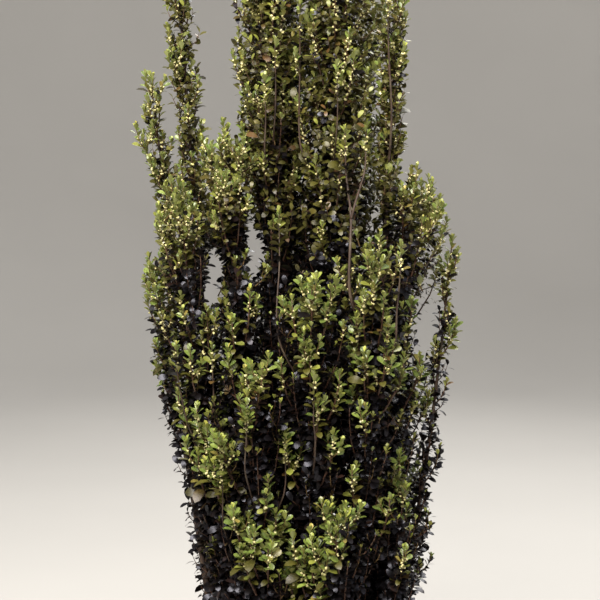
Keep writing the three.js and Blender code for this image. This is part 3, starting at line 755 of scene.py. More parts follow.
STEM_SINK = 0.085  # how far below its first pixel a stem leaves the limb behind
FORK_SINK = 0.012
LEAFY_END = 0.03
STEM_POINTS = 48
STEM_VIGOUR, STEM_GREEN, STEM_BARE = 0.7, 0.3, 0.72


def along_line(points, count):
    """Points at equal steps along a line of points."""
    points = np.array(points)
    length = np.concatenate([[0], np.cumsum(np.linalg.norm(np.diff(points, axis=0), axis=1))])
    at = np.linspace(0, length[-1], count)
    return np.column_stack([np.interp(at, length, points[:, axis]) for axis in range(3)])


def rounded_off(line, rounds=12):
    """A line with its corners rounded off, between the same ends."""
    for _ in range(rounds):
        line[1:-1] = (line[:-2] + line[1:-1] + line[2:]) / 3
    return line


bare_stems = []
for radius, forks, *pixels in BARE_STEMS:
    fronts = [front_of_crown(*pixel) for pixel in pixels]
    points = np.array([point for point, column in fronts])
    climb = np.abs(points[:, None, 2] - points[None, :, 2])
    depths = np.min(points[None, :, 1] + STEM_LEAN * climb, axis=1) - IN_FRONT
    if forks:
        before = bare_stems[-1][0]
        start = before[np.argmin(np.abs(before[:, 2] - points[0, 2] + FORK_SINK))]
        depths += (start[1] - depths[0]) * np.linspace(1, 0, len(depths))
    else:
        start = fronts[0][1].axis([points[0, 2] - STEM_SINK])[0]
    line = [np.array(place_in_picture(*pixel, depth)) for pixel, depth in zip(pixels, depths)]
    line = rounded_off(along_line([start, *line, line[-1] + [0, 0, LEAFY_END]], STEM_POINTS))
    bare_stems.append((line, radius))
    add_shoot(along_line(line, PATH_POINTS), radius, STEM_VIGOUR, STEM_GREEN, STEM, bare=STEM_BARE)
print(len(bare_stems), "bare stems placed")

# %% [markdown]
# ## One leaf
# The leaf is a small spoon: narrow at the root, widest beyond the middle, with a blunt tip and a folded
# midrib. Three forms are enough. A young leaf stands up and is hollow above, a dark one arches over, and the
# old ones, hardly seen, have half as many faces. Each is modelled once from a grid, row by row, and then
# copied many thousand times, so it has only a dozen faces, and smooth shading does the rest.

# %% One leaf
TIP_DROP = 0.35  # how far an arched leaf's tip hangs down, in arches


def select_vertices(piece, test):
    """Selects the vertices whose place passes a test, and leaves the piece in edit mode."""
    bpy.ops.object.mode_set(mode="OBJECT")
    for elements in (piece.data.vertices, piece.data.edges, piece.data.polygons):
        elements.foreach_set("select", [False] * len(elements))
    for vertex in piece.data.vertices:
        vertex.select = test(vertex.co)
    bpy.ops.object.mode_set(mode="EDIT")


def model_leaf(name, outline, arch, hollow, columns=2):
    """A leaf 1 long from its root at the origin to its tip at +Y, with its upper side up. The outline gives
    the half width at some heights."""
    rows = len(outline) - 1
    bpy.ops.object.select_all(action="DESELECT")
    bpy.ops.mesh.primitive_grid_add(x_subdivisions=columns, y_subdivisions=rows, size=1, location=(0, 0.5, 0))
    leaf = bpy.context.object
    leaf.name = name
    bpy.ops.object.transform_apply(location=True)
    for row, (height, half_width) in reversed(list(enumerate(outline))):
        select_vertices(leaf, lambda co: abs(co.y - row / rows) < 0.01)
        lift = arch * height * (1 - height) - TIP_DROP * arch * height**2
        bpy.ops.transform.resize(value=(2 * half_width, 1, 1), center_override=(0, 0, 0))
        bpy.ops.transform.translate(value=(0, height - row / rows, lift))
        select_vertices(leaf, lambda co: abs(co.y - height) < 0.01 and abs(co.x) > 1e-4)
        bpy.ops.transform.translate(value=(0, 0, hollow * half_width))
    for end in (0, 1):
        select_vertices(leaf, lambda co: abs(co.y - end) < 0.01)
        bpy.ops.mesh.merge(type="CENTER")
    bpy.ops.mesh.select_all(action="SELECT")
    bpy.ops.mesh.quads_convert_to_tris()
    bpy.ops.object.mode_set(mode="OBJECT")
    return leaf


def arrays_of(piece):
    """A modelled pattern piece as arrays of vertices and triangles. The piece itself goes."""
    mesh = piece.data
    vertices = np.zeros(len(mesh.vertices) * 3)
    mesh.vertices.foreach_get("co", vertices)
    faces = np.array([polygon.vertices[:] for polygon in mesh.polygons])
    bpy.data.objects.remove(piece)
    return vertices.reshape(-1, 3), faces


YOUNG_OUTLINE = ((0, 0.03), (0.34, 0.17), (0.64, 0.275), (0.87, 0.215), (1, 0.06))
OLD_OUTLINE = ((0, 0.03), (0.30, 0.20), (0.58, 0.275), (0.86, 0.20), (1, 0.05))
INNER_OUTLINE = ((0, 0.03), (0.28, 0.20), (0.58, 0.275), (0.86, 0.20), (1, 0.05))
young_leaf = arrays_of(model_leaf("young_leaf", YOUNG_OUTLINE, 0.12, 0.35))
old_leaf = arrays_of(model_leaf("old_leaf", OLD_OUTLINE, 0.52, 0.12))
inner_leaf = arrays_of(model_leaf("inner_leaf", INNER_OUTLINE, 0.42, 0, columns=1))
print("faces in a leaf:", len(young_leaf[1]), len(old_leaf[1]), len(inner_leaf[1]))

# %% [markdown]
# ## The ages of a leaf
# Leaves follow each other round the shoot by the golden angle. They stand close and upright at the tip, and
# further down they are longer, further apart and spread wide. Age is distance from the tip, and it settles
# everything else: the youngest are pale and small, then comes fresh green, and the old ones inside are nearly
# black, a colour that is painted shade. So one table of ages gives each leaf its spread, its length and the
# gap to the next.

# %% The ages of a leaf
AGES = np.array([0, 0.006, 0.014, 0.030, 0.060, 0.110])
SPREADS = np.radians([18, 36, 50, 64, 76, 88])
LENGTHS = np.array([0.0095, 0.0145, 0.0165, 0.0175, 0.0178, 0.0178])
GAPS = np.array([0.0016, 0.0026, 0.0036, 0.0042, 0.0046, 0.0048])
KINDS = ("tip", "fresh", "green", "dark", "old")
FRESH, DARK, OLD = (KINDS.index(kind) for kind in ("fresh", "dark", "old"))
LONGEST_SHOOT = 0.25

distances = [0.0]
while distances[-1] < LONGEST_SHOOT:
    distances.append(distances[-1] + float(np.interp(distances[-1], AGES, GAPS)))
DISTANCES = np.array(distances)
print("a shoot 0.1 m long has", int((DISTANCES < 0.1).sum()), "leaves")

# %% [markdown]
# ## Where each leaf stands
# A leaf is placed by a root and three directions: along it, across it, and out of its upper face. In full
# light leaves stand steeper and stay shorter. Some are much longer and arch over. Every leaf differs a little
# in spread, roll and length, which hides that all of them are one pattern.

# %% Where each leaf stands
OLD_LEAF_GAP = 0.0046
INNER_AGE = 0.052  # a leaf inside is as old as one that far below a tip, or older
LONG_AGE, LONG_SHARE, LONG_STRETCH = 0.030, 0.08, 1.45
UPRIGHT_IN_LIGHT, SHORT_IN_LIGHT = 0.20, 0.14
END_LEAF_SPREAD = math.radians(25)  # the last leaf hides a twig's end
DROOP_AGES, MOST_DROOP = [0.04, 0.12], 0.3
TURN_SLACK, SPREAD_SLACK, ROLL_SLACK, LENGTH_SLACK = 0.15, 0.16, 0.28, (0.74, 1.12)
PROBE_ALONG = 0.004  # the shoot's direction at a leaf is taken over twice this length


def unit(vectors):
    return vectors / np.maximum(np.linalg.norm(vectors, axis=-1, keepdims=True), 1e-9)


def place_leaves(shoot, below, size, random):
    """Roots, three directions, lengths and ages of the leaves that stand so far below a shoot's tip, the
    shoot's own direction there, and which of the leaves are long ones."""
    path, green, inner = shoot["path"], shoot["green"], shoot["order"] == INNER
    count = len(below)
    along_path = np.concatenate([[0], np.cumsum(np.linalg.norm(np.diff(path, axis=0), axis=1))])
    at = along_path[-1] - below
    roots, ahead, behind = [
        np.column_stack([np.interp(at + step, along_path, path[:, axis]) for axis in range(3)])
        for step in (0, PROBE_ALONG, -PROBE_ALONG)
    ]
    up = unit(ahead - behind)
    first = random.uniform(0, 2 * math.pi)
    turn = np.arange(count) * GOLDEN_ANGLE + first + random.normal(0, TURN_SLACK, count)
    away = outwards(turn)
    away = unit(away - up * np.sum(away * up, axis=1, keepdims=True))
    years = below + (INNER_AGE if inner else 0.0)
    spread = np.interp(years, AGES, SPREADS) * (1 - UPRIGHT_IN_LIGHT * green)
    spread *= random.normal(1, SPREAD_SLACK, count)
    if inner:
        spread[0] = END_LEAF_SPREAD
    along = unit(up * np.cos(spread)[:, None] + away * np.sin(spread)[:, None])
    along[:, 2] -= np.interp(years, DROOP_AGES, [0, MOST_DROOP]) * random.uniform(0, 1, count)
    along = unit(along)
    face = unit(up - along * np.sum(up * along, axis=1, keepdims=True))
    across = np.cross(along, face)
    roll = random.normal(0, ROLL_SLACK, count)[:, None]
    face, across = face * np.cos(roll) + across * np.sin(roll), across * np.cos(roll) - face * np.sin(roll)
    lengths = np.interp(years, AGES, LENGTHS) * size * random.uniform(*LENGTH_SLACK, count)
    lengths *= 1 - SHORT_IN_LIGHT * green
    long = (years > LONG_AGE) & (random.uniform(0, 1, count) < LONG_SHARE)
    lengths *= np.where(long, LONG_STRETCH, 1.0)
    return (roots, across, along, face, lengths), years, up, long


first_leaves = place_leaves(shoots[0], DISTANCES[:5], 1, np.random.default_rng(1))[0]
print("lengths of the first leaves below a tip:", (first_leaves[4] * 1000).round(1), "mm")

# %% [markdown]
# ## The leaves of a shoot
# Each shoot's leaves are sorted into five kinds by age, because each kind has its own finish. A vigorous
# shoot keeps its fresh leaves longer, one in the light its green ones, and a weak one turns dark soon. A few
# leaves turn old early, all over the plant. In the leaf angles just below the young leaves stand the buds,
# whose places are kept for later.

# %% The leaves of a shoot
TIP_REACH, FRESH_REACH = 0.004, 0.023
FRESH_IN_SHADE, LESS_IN_LIGHT = 1.35, 0.35
GREEN_REACH, DARK_REACH = (0.005, 0.055), (0.006, 0.056)  # in the dark, and what full light adds
RIPE_VIGOUR, LEAST_RIPE = 0.2, 0.2  # a weaker shoot than this turns dark sooner
AGE_SLACK = 0.003
LAST_YEAR_SHARE = 0.10  # of the green and dark leaves: these turned old early
FALLEN_AGES, FALLEN_SHARES = [0.05, 0.14], [0, 0.2]
SMALLEST, LARGER_BY_VIGOUR, MOST_VIGOUR = 0.82, 0.2, 1.3
BUDS_FROM, FROM_BY_VIGOUR = 0.009, 0.006
BUDS_TO, TO_BY_VIGOUR, TO_BY_GREEN = 0.028, 0.004, 0.045
BUD_CHANCE, CHANCE_BY_VIGOUR, CHANCE_BY_GREEN = 0.25, 0.4, 0.3
TOO_WEAK_TO_BUD = 0.3
leaves = {(kind, inner): [] for kind in KINDS for inner in (False, True)}
axils = []


def kinds_of_leaves(shoot, years, long, random):
    """The kind of each leaf, as its place in KINDS."""
    vigour, green, count = shoot["vigour"], shoot["green"], len(years)
    tip_end = TIP_REACH * vigour
    fresh_end = FRESH_REACH * vigour * (FRESH_IN_SHADE - LESS_IN_LIGHT * green)
    ripe = 1.0 if shoot["order"] == INNER else np.clip(vigour / RIPE_VIGOUR, LEAST_RIPE, 1)
    green_end = fresh_end + (GREEN_REACH[0] + GREEN_REACH[1] * green) * ripe
    dark_end = green_end + (DARK_REACH[0] + DARK_REACH[1] * green) * ripe
    age = years + random.normal(0, AGE_SLACK, count)
    kind = np.searchsorted([tip_end, fresh_end, green_end, dark_end], age)
    kind[long & (kind < DARK)] = DARK
    kind[(kind > FRESH) & (random.uniform(0, 1, count) < LAST_YEAR_SHARE)] = OLD
    return kind


def grow_leaves(shoot, random):
    """Lays leaves along one shoot and sorts them by kind."""
    path, vigour, green, inner = shoot["path"], shoot["vigour"], shoot["green"], shoot["order"] == INNER
    length = np.cumsum(np.linalg.norm(np.diff(path, axis=0), axis=1))[-1]
    size = SMALLEST + LARGER_BY_VIGOUR * min(vigour, MOST_VIGOUR)
    below = DISTANCES[DISTANCES * size < length * (1 - shoot["bare"])] * size
    if inner:
        below = np.arange(0, length, OLD_LEAF_GAP)
    count = len(below)
    if not count:
        return
    places, years, up, long = place_leaves(shoot, below, size, random)
    roots, across, along, face, lengths = places
    kind = kinds_of_leaves(shoot, years, long, random)
    keep = random.uniform(0, 1, count) > np.interp(below, FALLEN_AGES, FALLEN_SHARES)
    keep &= ~within(WINDOWS, roots + along * lengths[:, None] / 2, CLEAR_SHARE)
    for index, name in enumerate(KINDS):
        chosen = keep & (kind == index)
        if chosen.any():
            leaves[name, inner].append([values[chosen] for values in places])
    budding = below > BUDS_FROM + FROM_BY_VIGOUR * vigour
    budding &= below < BUDS_TO + TO_BY_VIGOUR * vigour + TO_BY_GREEN * green
    chance = BUD_CHANCE + CHANCE_BY_VIGOUR * vigour + CHANCE_BY_GREEN * green
    budding &= random.uniform(0, 1, count) < chance
    budding &= keep & (not inner and vigour + green > TOO_WEAK_TO_BUD)
    if budding.any():
        axils.append((roots[budding], along[budding], up[budding]))


random = np.random.default_rng(11)
for shoot in shoots:
    grow_leaves(shoot, random)
for kind, places in leaves.items():
    leaves[kind] = [np.concatenate(values) for values in zip(*places)]
    print(kind, "leaves:", len(leaves[kind][0]) if places else 0)

# %% [markdown]
# ## From lists to pieces
# A hundred thousand small things can't be a hundred thousand objects. Each kind becomes a few joined meshes:
# the pattern's vertices are laid at every place at once with arrays, and the result is cut into pieces that
# stay small enough for the export.

# %% From lists to pieces
MOST_TRIANGLES = 190_000
MASS_NODES = [f"leaves_{column.name}" for column in columns]
BARK_NODES = ["stock"] + [f"stem_{column.name}" for column in columns if not column.low]


def mesh_piece(name, vertices, triangles, material):
    """A smooth mesh of triangles that rides on the part."""
    mesh = bpy.data.meshes.new(name)
    mesh.vertices.add(len(vertices))
    mesh.vertices.foreach_set("co", np.ascontiguousarray(vertices, np.float32).ravel())
    mesh.loops.add(triangles.size)
    mesh.loops.foreach_set("vertex_index", np.ascontiguousarray(triangles, np.int32).ravel())
    mesh.polygons.add(len(triangles))
    mesh.polygons.foreach_set("loop_start", np.arange(0, triangles.size, 3, dtype=np.int32))
    mesh.polygons.foreach_set("use_smooth", np.ones(len(triangles), bool))
    mesh.update(calc_edges=True)
    mesh.validate()
    piece = bpy.data.objects.new(name, mesh)
    bpy.context.scene.collection.objects.link(piece)
    piece.data.materials.append(material)
    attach(piece, "root")
    return piece


def joined_copies(name, pattern, places, material, nodes=()):
    """Lays a pattern at every place. Its x, y and z run along the place's across, along and face."""
    pattern_vertices, pattern_faces = pattern
    roots, across, along, face, sizes = places
    per_piece = MOST_TRIANGLES // len(pattern_faces)
    for number, first in enumerate(range(0, len(roots), per_piece), start=1):
        part = slice(first, first + per_piece)
        frames = np.stack([across[part], along[part], face[part]], axis=1) * sizes[part][:, None, None]
        vertices = roots[part][:, None, :] + np.einsum("vk,nkc->nvc", pattern_vertices, frames)
        shift = np.arange(len(vertices))[:, None, None] * len(pattern_vertices)
        triangles = (pattern_faces[None] + shift).reshape(-1, 3)
        piece = mesh_piece(f"{name}_{number}", vertices.reshape(-1, 3), triangles, material)
        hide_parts(*nodes)
    print(name, len(roots), "copies in", number, "pieces")


print(len(MASS_NODES), "nodes of foliage are replaced, and", len(BARK_NODES), "of wood")

# %% [markdown]
# ## Tubes
# Wood is laid as tapering tubes along the shoots, all shoots of an order at once. A curve with a bevel would
# do for one. For thousands the rings of points are worked out in arrays, and both ends are closed.

# %% Tubes
def tubes(paths, radii, sides):
    """Closed tapering tubes along paths of equal point counts, as one pair of arrays."""
    count, points = radii.shape
    along = unit(np.gradient(paths, axis=1))
    sideways = unit(np.cross(np.array([0.0, 1.0, 0.0]), along))
    forward = np.cross(sideways, along)
    angles = np.linspace(0, 2 * math.pi, sides, endpoint=False)
    ring = forward[:, :, None] * np.cos(angles)[:, None] + sideways[:, :, None] * np.sin(angles)[:, None]
    vertices = paths[:, :, None] + ring * radii[:, :, None, None]
    ends = paths[:, [0, -1]]
    vertices = np.concatenate([vertices.reshape(count, points * sides, 3), ends], axis=1)
    triangles = []
    for row in range(points - 1):
        for side in range(sides):
            a, b = row * sides + side, row * sides + (side + 1) % sides
            triangles += [(a, b, b + sides), (a, b + sides, a + sides)]
    foot, tip, last = points * sides, points * sides + 1, (points - 1) * sides
    for side in range(sides):
        after = (side + 1) % sides
        triangles += [(foot, after, side), (tip, last + side, last + after)]
    shift = np.arange(count)[:, None, None] * vertices.shape[1]
    return vertices.reshape(-1, 3), (np.array(triangles)[None] + shift).reshape(-1, 3)


twig = tubes(sample_path[None, ::2], np.full((1, 4), 0.001), sides=4)
print("a twig of four rings with four sides has", len(twig[1]), "triangles")

# %% [markdown]
# ## Helpers for shader nodes
# A finish is a tree of shader nodes. What several materials share is a node group, built once and placed in
# each of them with its own values. A group gives only colours and values, and the shader itself stays in the
# material. Every pattern is noise on the piece's own coordinates, so it needs no image and no unwrapping.

# %% Helpers for shader nodes
COLOUR, NUMBER = "NodeSocketColor", "NodeSocketFloat"


def new_group(name, inputs, outputs):
    """A node group with named sockets, and its input and output nodes."""
    group = bpy.data.node_groups.new(name, "ShaderNodeTree")
    for label, kind, value in inputs:
        socket = group.interface.new_socket(label, in_out="INPUT", socket_type=kind)
        socket.default_value = value
    for label, kind in outputs:
        group.interface.new_socket(label, in_out="OUTPUT", socket_type=kind)
    return group, group.nodes.new("NodeGroupInput"), group.nodes.new("NodeGroupOutput")


def feed(tree, socket, value):
    """Gives a socket a link to another socket, or a plain value."""
    if isinstance(value, bpy.types.NodeSocket):
        tree.links.new(value, socket)
    else:
        socket.default_value = value


def mix_colours(tree, factor, first, second):
    """A colour mix. Each argument is a socket or a plain value."""
    mix = tree.nodes.new("ShaderNodeMix")
    mix.data_type = "RGBA"
    for socket, value in zip((mix.inputs[0], mix.inputs[6], mix.inputs[7]), (factor, first, second)):
        feed(tree, socket, value)
    return mix.outputs[2]


def noise(tree, scale, detail=2.0, roughness=0.5, vector=None):
    """A noise texture on the piece's own coordinates."""
    texture = tree.nodes.new("ShaderNodeTexNoise")
    for label, value in (("Scale", scale), ("Detail", detail), ("Roughness", roughness)):
        feed(tree, texture.inputs[label], value)
    if vector is None:
        vector = tree.nodes.new("ShaderNodeTexCoord").outputs["Object"]
    tree.links.new(vector, texture.inputs["Vector"])
    return texture.outputs["Fac"]


def remap(tree, value, low, high, to_low=0.0, to_high=1.0):
    """Stretches a value from one range to another."""
    node = tree.nodes.new("ShaderNodeMapRange")
    tree.links.new(value, node.inputs["Value"])
    for label, number in zip(("From Min", "From Max", "To Min", "To Max"), (low, high, to_low, to_high)):
        node.inputs[label].default_value = number
    return node.outputs["Result"]


# %% [markdown]
# ## Helpers for materials
# Every material starts as the shader that Blender gives it. A finish then feeds that shader's colour,
# roughness and bumps. Where a group makes those, it is placed here with the values that this finish gives.

# %% Helpers for materials
def new_material(name):
    """A material, its nodes and its shader."""
    material = bpy.data.materials.new(name)
    material.use_nodes = True
    return material, material.node_tree, material.node_tree.nodes["Principled BSDF"]


def add_bump(tree, shader, height, strength, distance):
    """Fine relief by shading."""
    bump = tree.nodes.new("ShaderNodeBump")
    bump.inputs["Strength"].default_value = strength
    bump.inputs["Distance"].default_value = distance
    tree.links.new(height, bump.inputs["Height"])
    tree.links.new(bump.outputs["Normal"], shader.inputs["Normal"])


def place_group(tree, group, **values):
    """Places a group in a material with its values, which go by the names of its inputs, and gives its
    outputs. Colours are red, green and blue."""
    node = tree.nodes.new("ShaderNodeGroup")
    node.node_tree = group
    for label, value in values.items():
        socket = node.inputs[label.replace("_", " ").title()]
        socket.default_value = (*value, 1) if isinstance(value, tuple) else value
    return node.outputs


# %% [markdown]
# ## The surface of a leaf
# Holly leaves are leathery and shine. All kinds share one surface: a tint that differs from leaf to leaf and
# is mostly the deeper one, a few leaves turned bronze, faint mottling, and a slightly uneven gloss. A leaf is
# an island of its mesh, so the number that each island has by chance tells the leaves apart.

# %% The surface of a leaf
DEEP_POWER = 1.5  # above 1, more of the leaves have the deeper tint
BRONZED_FROM = 0.90  # the leaves with a chance above this turn to bronze

leaf_surface, given, result = new_group(
    "leaf surface",
    [("Deep", COLOUR, (0, 0, 0, 1)), ("Light", COLOUR, (1, 1, 1, 1)), ("Faded", COLOUR, (1, 1, 0, 1)),
     ("Bronze", COLOUR, (1, 0.5, 0, 1)), ("Gloss Low", NUMBER, 0.3), ("Gloss High", NUMBER, 0.5)],
    [("Color", COLOUR), ("Roughness", NUMBER), ("Height", NUMBER)],
)
each_leaf = leaf_surface.nodes.new("ShaderNodeNewGeometry").outputs["Random Per Island"]
mostly_deep = leaf_surface.nodes.new("ShaderNodeMath")
mostly_deep.operation = "POWER"
mostly_deep.inputs[1].default_value = DEEP_POWER
leaf_surface.links.new(each_leaf, mostly_deep.inputs[0])
tint = mix_colours(leaf_surface, mostly_deep.outputs["Value"], given.outputs["Deep"], given.outputs["Light"])
other_number = leaf_surface.nodes.new("ShaderNodeTexWhiteNoise")
other_number.noise_dimensions = "1D"
leaf_surface.links.new(each_leaf, other_number.inputs["W"])
bronzed = remap(leaf_surface, other_number.outputs["Value"], BRONZED_FROM, 1.0)
tint = mix_colours(leaf_surface, bronzed, tint, given.outputs["Bronze"])
mottle = remap(leaf_surface, noise(leaf_surface, 420, 3), 0.35, 0.75, 0, 0.55)
mottled = mix_colours(leaf_surface, mottle, tint, given.outputs["Faded"])
uneven = noise(leaf_surface, 900, 2)
gloss = leaf_surface.nodes.new("ShaderNodeMix")
leaf_surface.links.new(uneven, gloss.inputs[0])
leaf_surface.links.new(given.outputs["Gloss Low"], gloss.inputs[2])
leaf_surface.links.new(given.outputs["Gloss High"], gloss.inputs[3])
leaf_surface.links.new(mottled, result.inputs["Color"])
leaf_surface.links.new(gloss.outputs[0], result.inputs["Roughness"])
leaf_surface.links.new(noise(leaf_surface, 650, 3), result.inputs["Height"])
print("leaf surface:", len(leaf_surface.nodes), "nodes")

# %% [markdown]
# ## Leaf finishes
# Five materials use that surface, from the yellow-green of the tips to the old leaves, which are nearly
# black: that near-black, darker than such leaves are, is painted shade, and the violet of their faded mottle
# is a painted sky sheen. What shows of them is mostly the sky in their gloss, so that is tinted blue. The
# underside of every leaf is paler. The shader's own Backfacing tells the two sides apart.

# %% Leaf finishes
def leaf_material(name, under, roughness, gloss, gloss_tint, **tints):
    """A leaf's finish: a tint between deep and light, mottled with faded, and a paler underside."""
    material, tree, shader = new_material(name)
    surface = place_group(tree, leaf_surface, gloss_low=roughness[0], gloss_high=roughness[1], **tints)
    back = tree.nodes.new("ShaderNodeNewGeometry").outputs["Backfacing"]
    colour = mix_colours(tree, back, surface["Color"], (*under, 1))
    tree.links.new(colour, shader.inputs["Base Color"])
    tree.links.new(surface["Roughness"], shader.inputs["Roughness"])
    add_bump(tree, shader, surface["Height"], 0.25, 0.0004)
    shader.inputs["Specular IOR Level"].default_value = gloss
    shader.inputs["Specular Tint"].default_value = (*gloss_tint, 1)
    return material


LEAF_FINISHES = {
    "tip": dict(
        deep=(0.140, 0.190, 0.018), light=(0.360, 0.388, 0.060), faded=(0.440, 0.440, 0.150),
        under=(0.30, 0.32, 0.08), bronze=(0.400, 0.285, 0.050),
        roughness=(0.34, 0.46), gloss=0.60, gloss_tint=(1, 0.98, 0.93),
    ),
    "fresh": dict(
        deep=(0.048, 0.090, 0.008), light=(0.172, 0.232, 0.034), faded=(0.280, 0.305, 0.110),
        under=(0.22, 0.24, 0.07), bronze=(0.220, 0.145, 0.025),
        roughness=(0.32, 0.45), gloss=0.62, gloss_tint=(1, 0.99, 1),
    ),
    "green": dict(
        deep=(0.046, 0.061, 0.005), light=(0.192, 0.209, 0.026), faded=(0.270, 0.268, 0.084),
        under=(0.21, 0.20, 0.05), bronze=(0.150, 0.085, 0.018),
        roughness=(0.34, 0.48), gloss=0.54, gloss_tint=(1, 0.98, 0.98),
    ),
    "dark": dict(
        deep=(0.013, 0.0125, 0.001), light=(0.074, 0.070, 0.009), faded=(0.112, 0.097, 0.030),
        under=(0.085, 0.076, 0.020), bronze=(0.088, 0.036, 0.011),
        roughness=(0.34, 0.48), gloss=0.38, gloss_tint=(0.96, 0.93, 1),
    ),
    # old leaves: the near-black is painted shade, and the violet faded tint a painted sky sheen
    "old": dict(
        deep=(0.0008, 0.0005, 0.0004), light=(0.004, 0.003, 0.002), faded=(0.012, 0.009, 0.011),
        under=(0.007, 0.005, 0.004), bronze=(0.020, 0.009, 0.005),
        roughness=(0.25, 0.40), gloss=0.34, gloss_tint=(0.84, 0.85, 1),
    ),
}
LEAF_PATTERNS = {"old": inner_leaf, "dark": old_leaf}  # the others are young leaves
for kind, finish in LEAF_FINISHES.items():
    material = leaf_material(f"{kind} leaf", **finish)
    outer_pattern = LEAF_PATTERNS.get(kind, young_leaf)
    for inner, pattern, start in ((False, outer_pattern, ""), (True, inner_leaf, "inner_")):
        if leaves[kind, inner]:
            joined_copies(f"{start}leaves_{kind}", pattern, leaves[kind, inner], material, MASS_NODES)

# %% [markdown]
# ## A bud and a flower
# Just below the young leaves, small cream buds sit in the leaf angles, a few of them open with four petals.
# They are only 3 to 5 mm across, but there are thousands, and they give the plant its pale specks. A bud is
# a five-sided cone that stands on its point and has a low cap, ten faces in all. A flower is a disc whose rim
# is drawn in between four blunt petals, with a sunk middle.

# %% A bud and a flower
def model_bud():
    """A blunt bud of ten faces with its foot at the origin: a low cap on a longer cone."""
    bpy.ops.object.select_all(action="DESELECT")
    bpy.ops.mesh.primitive_cone_add(vertices=5, radius1=1, radius2=0, depth=0.8, location=(0, 0, 1.7))
    bud = bpy.context.object
    bpy.ops.object.transform_apply(location=True)
    bpy.ops.object.mode_set(mode="EDIT")
    bpy.ops.mesh.select_mode(type="FACE")
    bpy.ops.mesh.select_all(action="DESELECT")
    bpy.ops.object.mode_set(mode="OBJECT")
    for face in bud.data.polygons:
        face.select = face.normal.z < -0.9
    bpy.ops.object.mode_set(mode="EDIT")
    bpy.ops.mesh.extrude_region_move(TRANSFORM_OT_translate={"value": (0, 0, -1.3)})
    bpy.ops.mesh.merge(type="CENTER")
    bpy.ops.mesh.select_mode(type="VERT")
    bpy.ops.mesh.select_all(action="SELECT")
    bpy.ops.mesh.quads_convert_to_tris()
    bpy.ops.object.mode_set(mode="OBJECT")
    return bud


def model_flower():
    """A flower of four blunt petals, 1 in reach, that opens to +Z."""
    bpy.ops.object.select_all(action="DESELECT")
    bpy.ops.mesh.primitive_circle_add(vertices=8, radius=1, fill_type="TRIFAN")
    flower = bpy.context.object
    select_vertices(flower, lambda co: abs(abs(co.x) - abs(co.y)) < 0.01 and co.length > 0.5)
    bpy.ops.transform.resize(value=(0.45, 0.45, 1), center_override=(0, 0, 0))
    select_vertices(flower, lambda co: co.length > 0.7)
    bpy.ops.mesh.bevel(offset=0.35, affect="VERTICES", segments=1)
    select_vertices(flower, lambda co: co.length < 0.1)
    bpy.ops.transform.translate(value=(0, 0, -0.3))
    bpy.ops.mesh.select_all(action="SELECT")
    bpy.ops.mesh.quads_convert_to_tris()
    bpy.ops.object.mode_set(mode="OBJECT")
    return flower


bud, flower = arrays_of(model_bud()), arrays_of(model_flower())
print("faces in a bud and a flower:", len(bud[1]), len(flower[1]))

# %% [markdown]
# ## A finish of two tints
# Petals, compost, chips of bark and the floor have nothing in common but this: their colour clouds between
# two tints. One group does it for all of them, at its own scale in each.

# %% A finish of two tints
two_tints, given, result = new_group(
    "two tints",
    [("Deep", COLOUR, (0, 0, 0, 1)), ("Light", COLOUR, (1, 1, 1, 1)), ("Scale", NUMBER, 100),
     ("Detail", NUMBER, 2), ("Grain", NUMBER, 0.5)],
    [("Color", COLOUR), ("Height", NUMBER)],
)
cloud = noise(two_tints, given.outputs["Scale"], given.outputs["Detail"], given.outputs["Grain"])
two_tints.links.new(
    mix_colours(two_tints, remap(two_tints, cloud, 0.3, 0.7), given.outputs["Deep"], given.outputs["Light"]),
    result.inputs["Color"],
)
two_tints.links.new(cloud, result.inputs["Height"])


def two_tint_material(name, deep, light, scale, detail=2, grain=0.5, roughness=0.55, relief=None):
    """A finish that clouds between two tints. Relief is the strength and the depth of its bumps."""
    material, tree, shader = new_material(name)
    tints = place_group(tree, two_tints, deep=deep, light=light, scale=scale, detail=detail, grain=grain)
    tree.links.new(tints["Color"], shader.inputs["Base Color"])
    shader.inputs["Roughness"].default_value = roughness
    if relief:
        add_bump(tree, shader, tints["Height"], *relief)
    return material


print("two tints:", len(two_tints.nodes), "nodes")

# %% [markdown]
# ## Buds and flowers
# Each leaf angle that was kept for them gets one to four buds, which face outwards and a little up. About one
# in six is open.

# %% Buds and flowers
BUD_RADIUS = 0.0022
FLOWER_REACH = 0.0024
OPEN_SHARE = 0.18
MOST_BUDS = 4
BUD_SLACK = 0.45  # how far a bud may turn from its leaf
BUD_SEAT, FLOWER_SEAT = 0.001, 0.0025

random = np.random.default_rng(23)
axil_roots, axil_along, axil_up = [np.concatenate(values) for values in zip(*axils)]
repeats = random.integers(1, MOST_BUDS + 1, len(axil_roots))
axil_roots, axil_along, axil_up = [
    np.repeat(values, repeats, axis=0) for values in (axil_roots, axil_along, axil_up)
]
facing = unit(axil_along + 0.5 * axil_up + random.normal(0, BUD_SLACK, axil_along.shape))
side = unit(np.cross(facing, axil_up + 0.01))
over = np.cross(facing, side)
feet = axil_roots + facing * BUD_SEAT
opened = random.uniform(0, 1, len(feet)) < OPEN_SHARE
bud_sizes = BUD_RADIUS * random.uniform(0.65, 1.1, len(feet))
cream = two_tint_material("bud cream", (0.52, 0.49, 0.18), (0.80, 0.72, 0.40), scale=260)
white = two_tint_material("petal cream", (0.66, 0.62, 0.36), (0.82, 0.79, 0.58), scale=260)
closed = ~opened
joined_copies(
    "flower_buds", bud, (feet[closed], side[closed], over[closed], facing[closed], bud_sizes[closed]),
    cream,
)
petal_feet = feet[opened] + facing[opened] * FLOWER_SEAT
petal_sizes = FLOWER_REACH * random.uniform(0.8, 1.15, len(petal_feet))
joined_copies(
    "flowers", flower, (petal_feet, side[opened], over[opened], facing[opened], petal_sizes),
    white,
)

